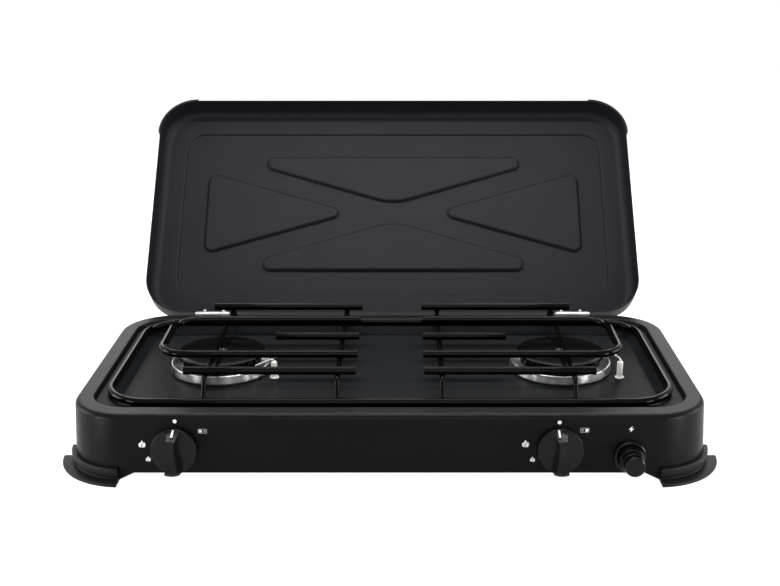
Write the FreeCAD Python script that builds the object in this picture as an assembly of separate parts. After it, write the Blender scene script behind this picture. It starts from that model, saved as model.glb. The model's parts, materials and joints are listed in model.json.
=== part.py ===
import FreeCAD, Part
import math
import os

# Two-burner camping gas stove with its lid open, in millimetres.
# The pieces are drawn with Z = 0 at the bottom of the feet and X = Y = 0 in the middle of the base,
# the front panel towards -Y, and moved together to the middle of their box at the end.

V = FreeCAD.Vector

# Base housing, a pressed steel box that is open underneath
base_length = 534.0
base_depth = 264.0
base_top = 58.0
base_corner = 47.0
wall_flare = 3.0
base_sheet = 1.0
top_rounding = 4.5
skirt_bottom = 8.0
leg_bottom = 2.0
leg_run_front = 56.0
leg_run_side = 55.5
leg_slope = 12.3

# Opening in the shoulder and the turned-in flange that carries the hob tray; each width is what
# is left of the piece round it
shoulder_side = 15.0
shoulder_front = 18.6
shoulder_rear = 16.0
opening_corner = 30.0
opening_rounding = 1.5
opening_slope = 20.0
ledge_drop = 4.0
flange_side = 9.0
flange_front_width = 9.9
flange_rear_width = 6.5
flange_corner = 22.0

# Hob tray
tray_sheet = 0.8
tray_gap = 0.2
ledge_side = 12.5
ledge_front = 13.4
ledge_rear = 10.0
well_corner = 20.0
well_depth = 6.5
well_rounding = 2.0

# Rubber feet on the four corners
foot_lip_top = 13.0
foot_lip_width = 4.0
foot_groove_top = 5.0
foot_groove_low = 3.0
foot_groove_depth = 1.5
foot_reach = 61.6
foot_inner_radius = 42.0
foot_inner_top = 16.0
foot_end_gap = 4.0
foot_rounding = 1.2
foot_screw_height = 10.0
foot_screw_radius = 1.5
foot_screw_length = 10.0
foot_screw_head = 3.0
foot_screw_head_height = 2.0
foot_spot_depth = 1.0

# Burners
burner_inset = 110.5
burner_y = 5.5
cup_foot_radius = 47.0
cup_rim_radius = 45.5
cup_height = 8.6
cup_sheet = 0.8
cup_bead = 0.9
neck_radius = 9.9
neck_bore = 8.1
neck_gap = 0.2
neck_drop = 6.5
bowl_flange_radius = 14.0
bowl_flange_height = 2.0
bowl_radius = 36.5
bowl_wall = 3.0
bowl_low = 4.8
bowl_top = 14.1
port_count = 24
port_width = 2.2
port_depth = 5.5
boss_radius = 5.0
boss_height = 6.0
rib_width = 2.4
rib_end_gap = 8.0
rib_drop = 2.0
cap_radius = 40.0
cap_thickness = 3.0
cap_dome = 1.4
cap_rounding = 0.8
cap_screw_radius = 2.0
cap_screw_head = 5.0
cap_screw_head_height = 2.4
cap_screw_length = 8.0
burner_nut_radius = 14.0
burner_nut_height = 3.0
burner_nut_flats = 26.0

# Taps, held on the inside of the front panel
left_tap_inset = 90.5
right_tap_inset = 126.5
tap_height = 29.0
tap_flange_width = 30.0
tap_flange_height = 14.0
tap_flange_thickness = 3.0
tap_flange_corner = 6.0
tap_screw_spacing = 22.0
tap_screw_radius = 1.5
tap_screw_head = 2.8
tap_screw_head_height = 1.6
tap_screw_length = 5.0
tap_barrel_radius = 9.0
tap_barrel_end = 34.0
tap_front_wall = 5.3
tap_rear_wall = 1.0
tap_bore = 5.05
tap_gas_bore = 1.5
nose_radius = 6.9
nose_length = 10.0
nose_bore = 2.5
block_width = 16.0
block_start = 16.0
block_end = 32.0
block_drop = 22.0
plug_radius = 5.0
plug_start = 14.0
plug_slot_depth = 10.0
plug_web = 2.0
plug_port_height = 4.0
plug_end_gap = 0.3
part_gap = 0.3
spindle_radius = 3.0
spindle_bore = 3.3
spindle_flat = 2.2
collar_radius = 4.6
collar_thickness = 1.4
tongue_width = 4.6
tongue_thickness = 2.2
tongue_depth = 20.5
spring_outer = 4.4
spring_wall = 1.0

# Knobs
knob_gap = 3.0
knob_radius = 19.2
knob_front_radius = 18.7
knob_skirt = 3.0
knob_edge = 1.0
knob_height = 17.5
knob_hollow = 15.5
knob_hollow_depth = 1.8
knob_hub = 6.0
grip_foot_width = 14.4
grip_width = 12.6
grip_waist = 1.0
grip_radius = 18.6
grip_front_radius = 16.8
grip_dish_half = 14.5
grip_dish_depth = 3.2
grip_rounding = 0.9
pointer_groove = 1.5
pointer_depth = 0.4
pointer_length = 9.0
knob_bore_depth = 11.5
knob_bore_gap = 0.05

# Gas pipe
pipe_radius = 6.0
pipe_wall = 1.0
pipe_gap = 0.05
pipe_drop = 15.0
pipe_depth = 24.0
pipe_start_inset = 79.0
inlet_inset = 91.0
pipe_bend = 18.0
pipe_end_cap = 3.0
inlet_collar_radius = 9.0
inlet_collar_length = 6.0
inlet_socket_radius = 8.0
inlet_socket_length = 6.0
inlet_thread_radius = 6.5
inlet_thread_length = 6.0
inlet_hole_gap = 0.2
inlet_nut_width = 17.0
inlet_nut_height = 4.0
spigot_radius = 4.0
spigot_length = 18.0
spigot_bore = 2.5

# Mixing tubes and injectors
tube_radius = 8.0
tube_wall = 1.0
tube_start = 37.0
tube_bend_depth = 60.0
tube_bend = 60.0
elbow_radius = 14.0
elbow_height = 25.0
tube_top_gap = 1.5
air_hole_radius = 3.0
air_hole_depth = 52.0
jet_head_width = 8.0
jet_head_length = 4.0
jet_thread_length = 6.0
jet_bore = 0.4
jet_gap = 0.05

# Ignition
electrode_dx = 51.0
electrode_y = -20.0
insulator_radius = 2.75
insulator_top = 63.6
insulator_bottom = 38.0
insulator_flange = 4.2
insulator_flange_height = 1.5
insulator_bore = 0.85
insulator_tip_height = 1.0
insulator_tip_step = 0.8
electrode_wire_radius = 0.8
electrode_wire_top = 66.0
electrode_bend = 2.0
left_spark_reach = 16.5
left_spark_side = 2.5
left_spark_drop = 6.0
right_arm_in = 7.0
right_arm_back = 17.0
right_spark_in = 13.0
right_spark_back = 20.0
right_spark_drop = 4.0
lead_radius = 1.3
lead_exit = 14.0
lead_setback = 30.0
lead_low = 30.0
lead_run_y = -46.0
lead_run_height = 41.0
lead_run_right_gap = 38.0
lead_run_left_gap = 50.5
lead_approach = 12.0
left_lead_bends = (8.0, 10.0, 12.0, 20.0, 12.0, 5.0)
right_lead_bends = (8.0, 8.0, 6.0)
igniter_inset = 69.0
igniter_height = 23.0
bezel_radius = 13.65
bezel_height = 4.0
bezel_rounding = 1.0
sleeve_radius = 12.3
sleeve_length = 12.0
igniter_hole_gap = 0.3
pocket_radius = 10.8
pocket_depth = 9.5
igniter_rear_radius = 8.5
igniter_length = 58.0
igniter_bore = 5.3
igniter_bore_end = 50.0
igniter_nut_radius = 15.5
igniter_nut_height = 4.0
button_radii = (10.5, 9.25, 8.45)
button_steps = ((-1.0, 13.2), (14.2, 19.0), (20.2, 26.2))
button_neck = 7.6
button_rounding = 1.0
plunger_radius = 5.0
plunger_length = 24.0
igniter_spring_radius = 9.0
terminal_spacing = 8.0
terminal_radius = 2.0
terminal_length = 5.0

# Pan support, welded from rods that are bent and cut
rod_radius = 3.0
wire_radius = 2.0
rim_side_gap = 10.5
rim_front_gap = 11.4
rim_rear_gap = 6.0
rim_corner = 38.0
ledge_gap = 0.3
bar_top = 81.5
bar_inner_x = 29.0
bar_reach = 19.0
bar_setback = 17.5
bar_end_rounding = 0.8
short_bar_gap = 50.5
loop_offset = 47.7
loop_reach = 48.0
loop_corner = 23.0
wire_inset = 15.5
wire_offset = 0.5
wire_run = 12.5
wire_bend = 5.0
weld_sink = 0.4
clip_inset = 67.5
clip_width = 7.0
clip_sheet = 0.8
clip_gap = 0.3
clip_open_angle = 50.0

# Hinges, pinned on the top rear edge
hinge_inset = 82.0
hinge_reach = 2.5
hinge_z = 57.5
hinge_length = 33.0
hinge_knuckle = 16.5
hinge_side_gap = 0.35
base_knuckle_radius = 2.3
lid_knuckle_radius = 1.8
pin_radius = 1.0
pin_hold_gap = 0.02
pin_run_gap = 0.06
pin_head_radius = 1.5
pin_head_length = 0.8
base_leaf_sheet = 1.2
base_leaf_bottom = 39.0
leaf_clearance = 0.4
lid_leaf_sheet = 1.0
lid_leaf_height = 13.5
hinge_screw_radius = 1.5
screw_hole_gap = 0.1
hinge_screw_head = 2.7
hinge_screw_head_height = 1.9
hinge_screw_length = 7.0
base_screw_spacing = 17.0
base_screw_z = 45.5
lid_screw_spacing = 19.4
lid_screw_rise = 9.0

# Lid, drawn closed and then opened
lid_side_inset = 10.0
lid_front_inset = 8.0
lid_depth = 27.0
lid_sheet = 0.8
lid_gap = 0.5
lid_corner = 39.5
lid_rounding = 9.0
lid_open_angle = 131.0
step_side_inset = 26.5
step_front_inset = 27.5
step_rear_inset = 31.0
step_corner = 20.0
step_height = 2.0
step_slope = 1.6
field_offset = 0.75
field_slope = 4.0
wide_field_half = 139.0
wide_field_inset = 29.75
wide_field_apex = 11.2
wide_field_end = 13.2
side_field_inset = 27.5
side_field_tip = 46.0
side_field_half = 49.0
field_rounding = 4.0
apex_rounding = 60.0
guard_thickness = 2.0
guard_height = 14.0
guard_rounding = 0.7

# How far a cutting shape runs past the piece that it cuts
margin = 1.0

# Worked out from the sizes above
flare_slope = math.tan(math.radians(wall_flare))
opening_run = math.tan(math.radians(opening_slope))
leg_gap_front = base_length - 2 * leg_run_front
leg_gap_side = base_depth - 2 * leg_run_side
opening_length = base_length - 2 * shoulder_side
opening_front = shoulder_front - base_depth / 2
opening_rear = base_depth / 2 - shoulder_rear
flange_length = opening_length - 2 * flange_side
flange_front = opening_front + flange_front_width
flange_rear = opening_rear - flange_rear_width
well_length = opening_length - 2 * ledge_side
well_front = opening_front + ledge_front
well_rear = opening_rear - ledge_rear
rim_half_length = opening_length / 2 - rim_side_gap
rim_front = opening_front + rim_front_gap
rim_rear = opening_rear - rim_rear_gap
bar_offset = (rim_rear - rim_front) / 2 - bar_setback
wire_front = rim_front + wire_run
wire_rear = rim_rear - wire_run
hinge_y = base_depth / 2 + hinge_reach
lid_length = base_length - 2 * lid_side_inset
lid_front = lid_front_inset - base_depth / 2
lid_rear = base_depth / 2
step_length = lid_length - 2 * step_side_inset
step_front = lid_front + step_front_inset
step_rear = lid_rear - step_rear_inset
field_centre = (step_front + step_rear) / 2 + field_offset
wide_field_edge = (step_rear - step_front) / 2 - wide_field_inset
side_field_edge = step_length / 2 - side_field_inset
ledge_top = base_top - ledge_drop
flange_top = ledge_top - tray_sheet
floor_top = ledge_top - well_depth
floor_bottom = floor_top - tray_sheet
burner_x = base_length / 2 - burner_inset
left_tap_x = left_tap_inset - base_length / 2
right_tap_x = base_length / 2 - right_tap_inset
igniter_x = base_length / 2 - igniter_inset
pipe_start_x = pipe_start_inset - base_length / 2
pipe_turn_x = base_length / 2 - inlet_inset
hinge_x = base_length / 2 - hinge_inset
clip_x = base_length / 2 - clip_inset
bar_outer_x = burner_x + bar_reach
short_bar_outer_x = burner_x - short_bar_gap
loop_outer_x = burner_x + loop_reach
wire_x = (bar_inner_x + wire_inset, burner_x + wire_offset)
corner_x = base_length / 2 - base_corner
corner_y = base_depth / 2 - base_corner
rod_z = ledge_top + ledge_gap + rod_radius
bar_z = bar_top - rod_radius
wire_z = bar_z - rod_radius - wire_radius + weld_sink
bore_end = tap_barrel_end - tap_rear_wall
lid_low = base_top + lid_gap
lid_top = lid_low + lid_depth
lid_screw_z = lid_low + lid_screw_rise
hinge_axis_point = V(0, hinge_y, hinge_z)
taps = {"left": left_tap_x, "right": right_tap_x}
burners = {"left": -burner_x, "right": burner_x}
hinges = {"left": -hinge_x, "right": hinge_x}


# Common shapes

def box(x0, x1, y0, y1, z0, z1):
    return Part.makeBox(x1 - x0, y1 - y0, z1 - z0, V(x0, y0, z0))


def cylinder(radius, start, end):
    axis = end - start
    return Part.makeCylinder(radius, axis.Length, start, axis)


def fused(shapes):
    return shapes[0].multiFuse(shapes[1:]) if len(shapes) > 1 else shapes[0]


def turned(points, angle=360.0):
    """Revolves an outline of (radius, height) points about the Z axis."""
    wire = Part.makePolygon([V(r, 0, z) for r, z in points + points[:1]])
    return Part.Face(wire).revolve(V(0, 0, 0), V(0, 0, 1), angle)


def rounded_wire(half_x, y_front, y_rear, radius, z):
    """A rounded rectangle at height z, always begun at the same corner."""
    corners = ((1, y_rear, -1, 0), (-1, y_rear, -1, 90), (-1, y_front, 1, 180), (1, y_front, 1, 270))
    arcs = []
    for side, y, inward, first in corners:
        centre = V(side * (half_x - radius), y + inward * radius, z)
        points = [centre + radius * V(math.cos(math.radians(a)), math.sin(math.radians(a)), 0)
                  for a in (first, first + 45, first + 90)]
        arcs.append(Part.Arc(*points).toShape())
    edges = []
    for i, arc in enumerate(arcs):
        following = arcs[(i + 1) % 4]
        edges += [arc, Part.makeLine(arc.Vertexes[-1].Point, following.Vertexes[0].Point)]
    return Part.Wire(edges)


def sloped_block(half_x, y_front, y_rear, radius, z_low, z_high, grow_low, grow_high):
    """A rounded block whose outline grows by the given amounts at its two heights."""
    wires = [rounded_wire(half_x + g, y_front - g, y_rear + g, radius + g, z)
             for g, z in ((grow_low, z_low), (grow_high, z_high))]
    return Part.makeLoft(wires, True, True)


def edges_at(shape, z):
    return [e for e in shape.Edges if all(abs(v.Z - z) < 1e-6 for v in e.Vertexes)]


def edges_inside(shape, z, half_x, y_front, y_rear):
    """The edges at height z that lie within a rectangle, such as those round an opening."""
    boxes = [(e, e.BoundBox) for e in edges_at(shape, z)]
    return [e for e, b in boxes if b.XMax < half_x + 0.1 and b.XMin > -half_x - 0.1
            and b.YMin > y_front - 0.1 and b.YMax < y_rear + 0.1]


def bent_rod(points, radius, bends):
    """A round rod along straight runs joined by tangent arcs; bends is one radius or one for each turn."""
    turns = len(points) - 2
    bends = list(bends) if isinstance(bends, (list, tuple)) else [bends] * turns
    pieces, start = [], points[0]
    for i in range(1, len(points) - 1):
        along = (points[i] - points[i - 1]).normalize()
        onward = (points[i + 1] - points[i]).normalize()
        turn = along.getAngle(onward)
        back = bends[i - 1] * math.tan(turn / 2)
        arc_start = points[i] - along * back
        sideways = (onward - along * along.dot(onward)).normalize()
        centre = arc_start + sideways * bends[i - 1]
        section = Part.Face(Part.Wire(Part.makeCircle(radius, arc_start, along)))
        pieces.append(cylinder(radius, start, arc_start))
        pieces.append(section.revolve(centre, along.cross(onward), math.degrees(turn)))
        start = points[i] + onward * back
    pieces.append(cylinder(radius, start, points[-1]))
    return fused(pieces)


def hexagon(width, z0, z1, hole=0.0):
    corner = width / math.sqrt(3)
    points = [V(corner * math.cos(math.radians(60 * i)), corner * math.sin(math.radians(60 * i)), z0)
              for i in range(7)]
    solid = Part.Face(Part.makePolygon(points)).extrude(V(0, 0, z1 - z0))
    return solid.cut(Part.makeCylinder(hole, z1 - z0, V(0, 0, z0))) if hole else solid


def pan_screw(radius, length, head_radius, head_height):
    """A screw along -Z with the underside of its domed head at z = 0."""
    ball = (head_radius ** 2 + head_height ** 2) / (2 * head_height)
    head = Part.makeSphere(ball, V(0, 0, head_height - ball))
    head = head.common(Part.makeCylinder(head_radius, head_height))
    return head.fuse(Part.makeCylinder(radius, length, V(0, 0, -length)))


def mirrored(shape):
    return shape.mirror(V(0, 0, 0), V(1, 0, 0))


# Frames of the two flared walls: local Z points out of the wall from its outer face

def wall_y(z):
    return base_depth / 2 + (base_top - z) * flare_slope


def on_front(shape, x, z):
    place = FreeCAD.Placement(V(x, -wall_y(z), z), FreeCAD.Rotation(V(1, 0, 0), 90 - wall_flare))
    return shape.transformed(place.toMatrix(), True)


def on_rear(shape, x, z):
    place = FreeCAD.Placement(V(x, wall_y(z), z), FreeCAD.Rotation(V(1, 0, 0), wall_flare - 90))
    return shape.transformed(place.toMatrix(), True)


def front_point(x, z, up, out):
    place = FreeCAD.Placement(V(x, -wall_y(z), z), FreeCAD.Rotation(V(1, 0, 0), 90 - wall_flare))
    return place.multVec(V(0, up, out))


front_normal = front_point(0, 0, 0, 1) - front_point(0, 0, 0, 0)
pipe_front = front_point(0, tap_height, -pipe_drop, -pipe_depth)
inlet_height = pipe_front.z + flare_slope * (wall_y(pipe_front.z) - pipe_front.y)


# Base housing

def leg_cutters():
    """The long notches between the corner legs, with sloped ends."""
    low, high = leg_bottom - margin, skirt_bottom
    grow = leg_slope * (high - low) / (high - leg_bottom)
    cutters = []
    for gap, reach, along_x in ((leg_gap_front, base_depth, True), (leg_gap_side, base_length, False)):
        half = gap / 2
        outline = [(-half - grow, low), (half + grow, low), (half, high), (-half, high)]
        if along_x:
            points = [V(a, -reach, z) for a, z in outline]
            sweep = V(0, 2 * reach, 0)
        else:
            points = [V(-reach, a, z) for a, z in outline]
            sweep = V(2 * reach, 0, 0)
        cutters.append(Part.Face(Part.makePolygon(points + points[:1])).extrude(sweep))
    return cutters


def base_housing():
    half, deep = base_length / 2, base_depth / 2
    outer = sloped_block(half, -deep, deep, base_corner, leg_bottom, base_top,
                         (base_top - leg_bottom) * flare_slope, 0)
    outer = outer.makeFillet(top_rounding, edges_at(outer, base_top))
    low, roof = leg_bottom - margin, base_top - base_sheet
    inner = sloped_block(half, -deep, deep, base_corner, low, roof,
                         (base_top - low) * flare_slope - base_sheet, base_sheet * flare_slope - base_sheet)
    inner = inner.makeFillet(top_rounding - base_sheet, edges_at(inner, roof))
    flange_low = flange_top - base_sheet
    opening = (opening_length / 2, opening_front, opening_rear, opening_corner)
    curb = sloped_block(*opening, flange_low, base_top,
                        base_sheet - (base_top - flange_low) * opening_run, base_sheet)
    shell = outer.cut(inner.cut(curb))
    hollow = sloped_block(*opening, flange_top, base_top, -(base_top - flange_top) * opening_run, 0)
    window = sloped_block(flange_length / 2, flange_front, flange_rear, flange_corner,
                          flange_low - margin, flange_top + margin, 0, 0)
    shell = shell.cut(fused([hollow, window]))
    inside = edges_inside(shell, base_top, opening_length / 2, opening_front, opening_rear)
    shell = shell.makeFillet(opening_rounding, inside)
    return shell.cut(leg_cutters() + housing_holes())


def wall_hole(radius, x=0.0):
    """A cutter through a wall of the housing, and through what lies flat on its outer face."""
    depth = base_sheet + margin
    return Part.makeCylinder(radius, depth + base_leaf_sheet + margin, V(x, 0, -depth))


def housing_holes():
    holes = []
    for x in taps.values():
        holes.append(on_front(wall_hole(spindle_bore), x, tap_height))
        for side in (-1, 1):
            holes.append(on_front(wall_hole(tap_screw_radius + screw_hole_gap, side * tap_screw_spacing / 2),
                                  x, tap_height))
    holes.append(on_front(wall_hole(sleeve_radius + igniter_hole_gap), igniter_x, igniter_height))
    holes.append(on_rear(wall_hole(inlet_thread_radius + inlet_hole_gap), pipe_turn_x, inlet_height))
    for x in hinges.values():
        for side in (-1, 1):
            hole = wall_hole(hinge_screw_radius + screw_hole_gap, side * base_screw_spacing / 2)
            holes.append(on_rear(hole, x, base_screw_z))
    for side_x in (-1, 1):
        for side_y in (-1, 1):
            outward = V(side_x, side_y, 0).normalize()
            centre = V(side_x * corner_x, side_y * corner_y, foot_screw_height)
            holes.append(cylinder(foot_screw_radius + part_gap, centre + outward * foot_inner_radius,
                                  centre + outward * foot_reach))
    return holes


def hob_tray():
    rim = (base_top - flange_top) * opening_run + tray_gap
    plate = sloped_block(opening_length / 2 - rim, opening_front + rim, opening_rear - rim,
                         opening_corner - rim, flange_top, ledge_top, 0, 0)
    well = (well_length / 2, well_front, well_rear, well_corner)
    thicker = tray_sheet * (math.sqrt(2) - 1)
    outer = sloped_block(*well, floor_bottom, flange_top, thicker - well_depth, thicker)
    inner = sloped_block(*well, floor_top, ledge_top, -well_depth, 0)
    inner = inner.makeFillet(well_rounding, edges_at(inner, floor_top))
    tray = plate.fuse(outer).cut(inner)
    round_well = edges_inside(tray, ledge_top, well_length / 2, well_front, well_rear)
    tray = tray.makeFillet(well_rounding, round_well)
    low, depth = floor_bottom - margin, tray_sheet + 2 * margin
    holes = []
    for x in burners.values():
        holes.append(Part.makeCylinder(neck_radius + neck_gap, depth, V(x, burner_y, low)))
        holes.append(Part.makeCylinder(insulator_radius + pipe_gap, depth,
                                       V(x + electrode_dx, electrode_y, low)))
    return tray.cut(holes)


# Feet

def wall_radius(z):
    return base_corner + (base_top - z) * flare_slope


def foot(side_x, side_y):
    lip = wall_radius(foot_lip_top) + foot_lip_width
    outline = [(foot_inner_radius, 0), (foot_reach, 0), (foot_reach, foot_groove_low),
               (lip - foot_groove_depth, foot_groove_low), (lip - foot_groove_depth, foot_groove_top),
               (lip, foot_groove_top), (lip, foot_lip_top), (wall_radius(foot_lip_top), foot_lip_top),
               (wall_radius(leg_bottom), leg_bottom), (wall_radius(leg_bottom) - base_sheet, leg_bottom),
               (wall_radius(foot_inner_top) - base_sheet, foot_inner_top),
               (foot_inner_radius, foot_inner_top)]
    solid = turned(outline, 90)
    rounded = [e for e in solid.Edges if e.Length > 40
               and (abs(e.Vertexes[0].Point.Length - math.hypot(foot_reach, e.Vertexes[0].Z)) < 1e-6
                    or (abs(e.Vertexes[0].Z - foot_lip_top) < 1e-6
                        and math.hypot(e.Vertexes[0].X, e.Vertexes[0].Y) > lip - 0.1))]
    solid = solid.makeFillet(foot_rounding, rounded)
    beyond = foot_reach + margin
    solid = solid.common(box(foot_end_gap, beyond, foot_end_gap, beyond, -margin, foot_inner_top + margin))
    outward = V(1, 1, 0).normalize()
    level = V(0, 0, foot_screw_height)
    seat = level + outward * (foot_inner_radius + foot_spot_depth)
    tip = seat + outward * foot_screw_length
    wall = level + outward * (wall_radius(foot_screw_height) - base_sheet)
    solid = solid.cut([cylinder(foot_screw_head + part_gap, level, seat),
                       cylinder(foot_screw_radius + part_gap, seat, wall),
                       cylinder(foot_screw_radius, seat, tip)])
    return at_corner(solid, side_x, side_y)


def foot_screw(side_x, side_y):
    screw = pan_screw(foot_screw_radius, foot_screw_length, foot_screw_head, foot_screw_head_height)
    outward = V(1, 1, 0).normalize()
    seat = outward * (foot_inner_radius + foot_spot_depth) + V(0, 0, foot_screw_height)
    place = FreeCAD.Placement(seat, FreeCAD.Rotation(V(0, 0, -1), outward))
    return at_corner(screw.transformed(place.toMatrix(), True), side_x, side_y)


def at_corner(shape, side_x, side_y):
    """Moves a piece drawn round the origin, towards +X and +Y, to one corner of the base."""
    if side_x < 0:
        shape = shape.mirror(V(0, 0, 0), V(1, 0, 0))
    if side_y < 0:
        shape = shape.mirror(V(0, 0, 0), V(0, 1, 0))
    shape.translate(V(side_x * corner_x, side_y * corner_y, 0))
    return shape


# Burners, drawn with z = 0 at the floor of the hob tray

def burner_cup():
    rim = cup_rim_radius
    profile = [(neck_radius + neck_gap, 0), (cup_foot_radius, 0), (rim, cup_height - cup_bead),
               (rim - cup_sheet, cup_height - cup_bead), (cup_foot_radius - cup_sheet, cup_sheet),
               (neck_radius + neck_gap, cup_sheet)]
    bead = Part.makeTorus(rim - cup_sheet / 2, cup_bead, V(0, 0, cup_height - cup_bead))
    return turned(profile).fuse(bead)


def burner_head():
    low, high = cup_sheet + bowl_low, bowl_top
    seat = cup_sheet
    inner = bowl_radius - bowl_wall
    profile = [(neck_bore, -tray_sheet - neck_drop), (neck_radius, -tray_sheet - neck_drop),
               (neck_radius, seat), (bowl_flange_radius, seat),
               (bowl_flange_radius, seat + bowl_flange_height), (bowl_radius, low), (bowl_radius, high),
               (inner, high), (inner, low + bowl_wall),
               (neck_bore, seat + bowl_flange_height + bowl_wall)]
    head = turned(profile)
    slots = []
    for i in range(port_count):
        slot = box(inner - margin, bowl_radius + margin, -port_width / 2, port_width / 2,
                   high - port_depth, high + margin)
        slot.rotate(V(0, 0, 0), V(0, 0, 1), (i + 0.5) * 360.0 / port_count)
        slots.append(slot)
    head = head.cut(slots)
    floor_low = seat + bowl_flange_height + bowl_wall
    foot = floor_low - bowl_wall
    under = turned([(0, foot), (neck_bore, foot), (neck_bore, floor_low),
                    (inner, low + bowl_wall), (inner, high), (0, high)])
    web = [Part.makeCylinder(boss_radius, boss_height, V(0, 0, high - boss_height))]
    for start, rib_low in ((0, high - boss_height), (neck_bore - rib_width, foot)):
        for i in range(3):
            rib = box(start, inner - rib_end_gap, -rib_width / 2, rib_width / 2, rib_low, high - rib_drop)
            rib.rotate(V(0, 0, 0), V(0, 0, 1), 90 + 120 * i)
            web.append(rib)
    web = fused(web).common(under)
    thread_end = high + cap_thickness - cap_screw_length
    thread = Part.makeCylinder(cap_screw_radius, cap_screw_length, V(0, 0, thread_end))
    return head.fuse(web).cut(thread)


def burner_cap():
    ball = (cap_radius ** 2 + cap_dome ** 2) / (2 * cap_dome)
    disc = Part.makeCylinder(cap_radius, cap_thickness + cap_dome)
    dome = Part.makeSphere(ball, V(0, 0, cap_thickness + cap_dome - ball))
    cap = disc.common(dome)
    cap = cap.makeFillet(cap_rounding, [e for e in edges_at(cap, cap_thickness) if e.Length > cap_radius])
    seat = Part.makeCylinder(cap_screw_head + part_gap, cap_dome + margin, V(0, 0, cap_thickness))
    cap = cap.cut([seat, Part.makeCylinder(cap_screw_radius + part_gap, cap_thickness)])
    cap.translate(V(0, 0, bowl_top))
    return cap


def burner_cap_screw():
    screw = pan_screw(cap_screw_radius, cap_screw_length, cap_screw_head, cap_screw_head_height)
    screw.translate(V(0, 0, bowl_top + cap_thickness))
    return screw


def burner_nut():
    hole = neck_radius + pipe_gap
    solid = turned([(hole, 0), (burner_nut_radius, 0), (burner_nut_radius, burner_nut_height),
                    (hole, burner_nut_height)])
    solid = solid.common(box(-burner_nut_radius, burner_nut_radius, -burner_nut_flats / 2,
                             burner_nut_flats / 2, 0, burner_nut_height))
    solid.translate(V(0, 0, -tray_sheet - burner_nut_height))
    return solid


def at_burner(shape, side):
    shape = shape.copy()
    shape.translate(V(burners[side], burner_y, floor_top))
    return shape


# Taps and knobs, drawn along the knob's axis with local z = 0 on the panel's outer face and +z outwards

def tap_body():
    front = -base_sheet
    flange = box(-tap_flange_width / 2, tap_flange_width / 2, -tap_flange_height / 2, tap_flange_height / 2,
                 front - tap_flange_thickness, front)
    corners = [e for e in flange.Edges if e.BoundBox.ZLength > tap_flange_thickness / 2]
    flange = flange.makeFillet(tap_flange_corner, corners)
    barrel = cylinder(tap_barrel_radius, V(0, 0, -tap_barrel_end), V(0, 0, front))
    nose = cylinder(nose_radius, V(0, 0, -tap_barrel_end - nose_length), V(0, 0, -tap_barrel_end))
    block = box(-block_width / 2, block_width / 2, -block_drop, 0, -block_end, -block_start)
    body = fused([barrel, flange, nose, block])
    bores = [cylinder(spindle_bore, V(0, 0, front - tap_front_wall), V(0, 0, 0)),
             cylinder(tap_bore, V(0, 0, -bore_end), V(0, 0, front - tap_front_wall)),
             cylinder(nose_bore, V(0, 0, -tap_barrel_end - nose_length), V(0, 0, -bore_end)),
             cylinder(pipe_radius + pipe_gap, V(-block_width, -pipe_drop, -pipe_depth),
                      V(block_width, -pipe_drop, -pipe_depth)),
             cylinder(tap_gas_bore, V(0, -pipe_drop, -pipe_depth), V(0, 0, -pipe_depth))]
    for side in (-1, 1):
        x = side * tap_screw_spacing / 2
        bores.append(cylinder(tap_screw_radius, V(x, 0, front - tap_flange_thickness), V(x, 0, front)))
    return body.cut(bores)


def tap_screws():
    screws = []
    for x in taps.values():
        for side in (-1, 1):
            screw = pan_screw(tap_screw_radius, tap_screw_length, tap_screw_head, tap_screw_head_height)
            screw.translate(V(side * tap_screw_spacing / 2, 0, 0))
            screws.append(on_front(screw, x, tap_height))
    return Part.makeCompound(screws)


def tap_plug():
    """Cylindrical plug with the slot that the spindle's tongue turns, and its gas way."""
    end = -bore_end + plug_end_gap
    plug = cylinder(plug_radius, V(0, 0, end), V(0, 0, -plug_start))
    half_w, half_t = tongue_width / 2 + part_gap, tongue_thickness / 2 + part_gap
    slot = box(-half_t, half_t, -half_w, half_w, -plug_start - plug_slot_depth, -plug_start)
    way = cylinder(tap_gas_bore, V(0, 0, end), V(0, 0, -plug_start - plug_slot_depth - plug_web))
    port = cylinder(tap_gas_bore, V(0, 0, end + plug_port_height), V(0, -plug_radius, end + plug_port_height))
    return plug.cut([slot, way, port])


def spindle():
    collar_front = -base_sheet - tap_front_wall - part_gap
    collar_back = collar_front - collar_thickness
    shaft = cylinder(spindle_radius, V(0, 0, collar_front), V(0, 0, knob_gap + knob_bore_depth))
    flat = box(spindle_flat, spindle_radius + margin, -spindle_radius, spindle_radius,
               knob_gap, knob_gap + knob_bore_depth)
    collar = cylinder(collar_radius, V(0, 0, collar_back), V(0, 0, collar_front))
    tongue = box(-tongue_thickness / 2, tongue_thickness / 2, -tongue_width / 2, tongue_width / 2,
                 -tongue_depth, collar_back)
    return fused([shaft.cut(flat), collar, tongue])


def tap_spring():
    """The coil between the collar and the plug, as a plain sleeve of its outer and inner size."""
    back = -base_sheet - tap_front_wall - part_gap - collar_thickness
    sleeve = cylinder(spring_outer, V(0, 0, -plug_start), V(0, 0, back))
    return sleeve.cut(cylinder(spring_outer - spring_wall, V(0, 0, -plug_start), V(0, 0, back)))


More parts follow.
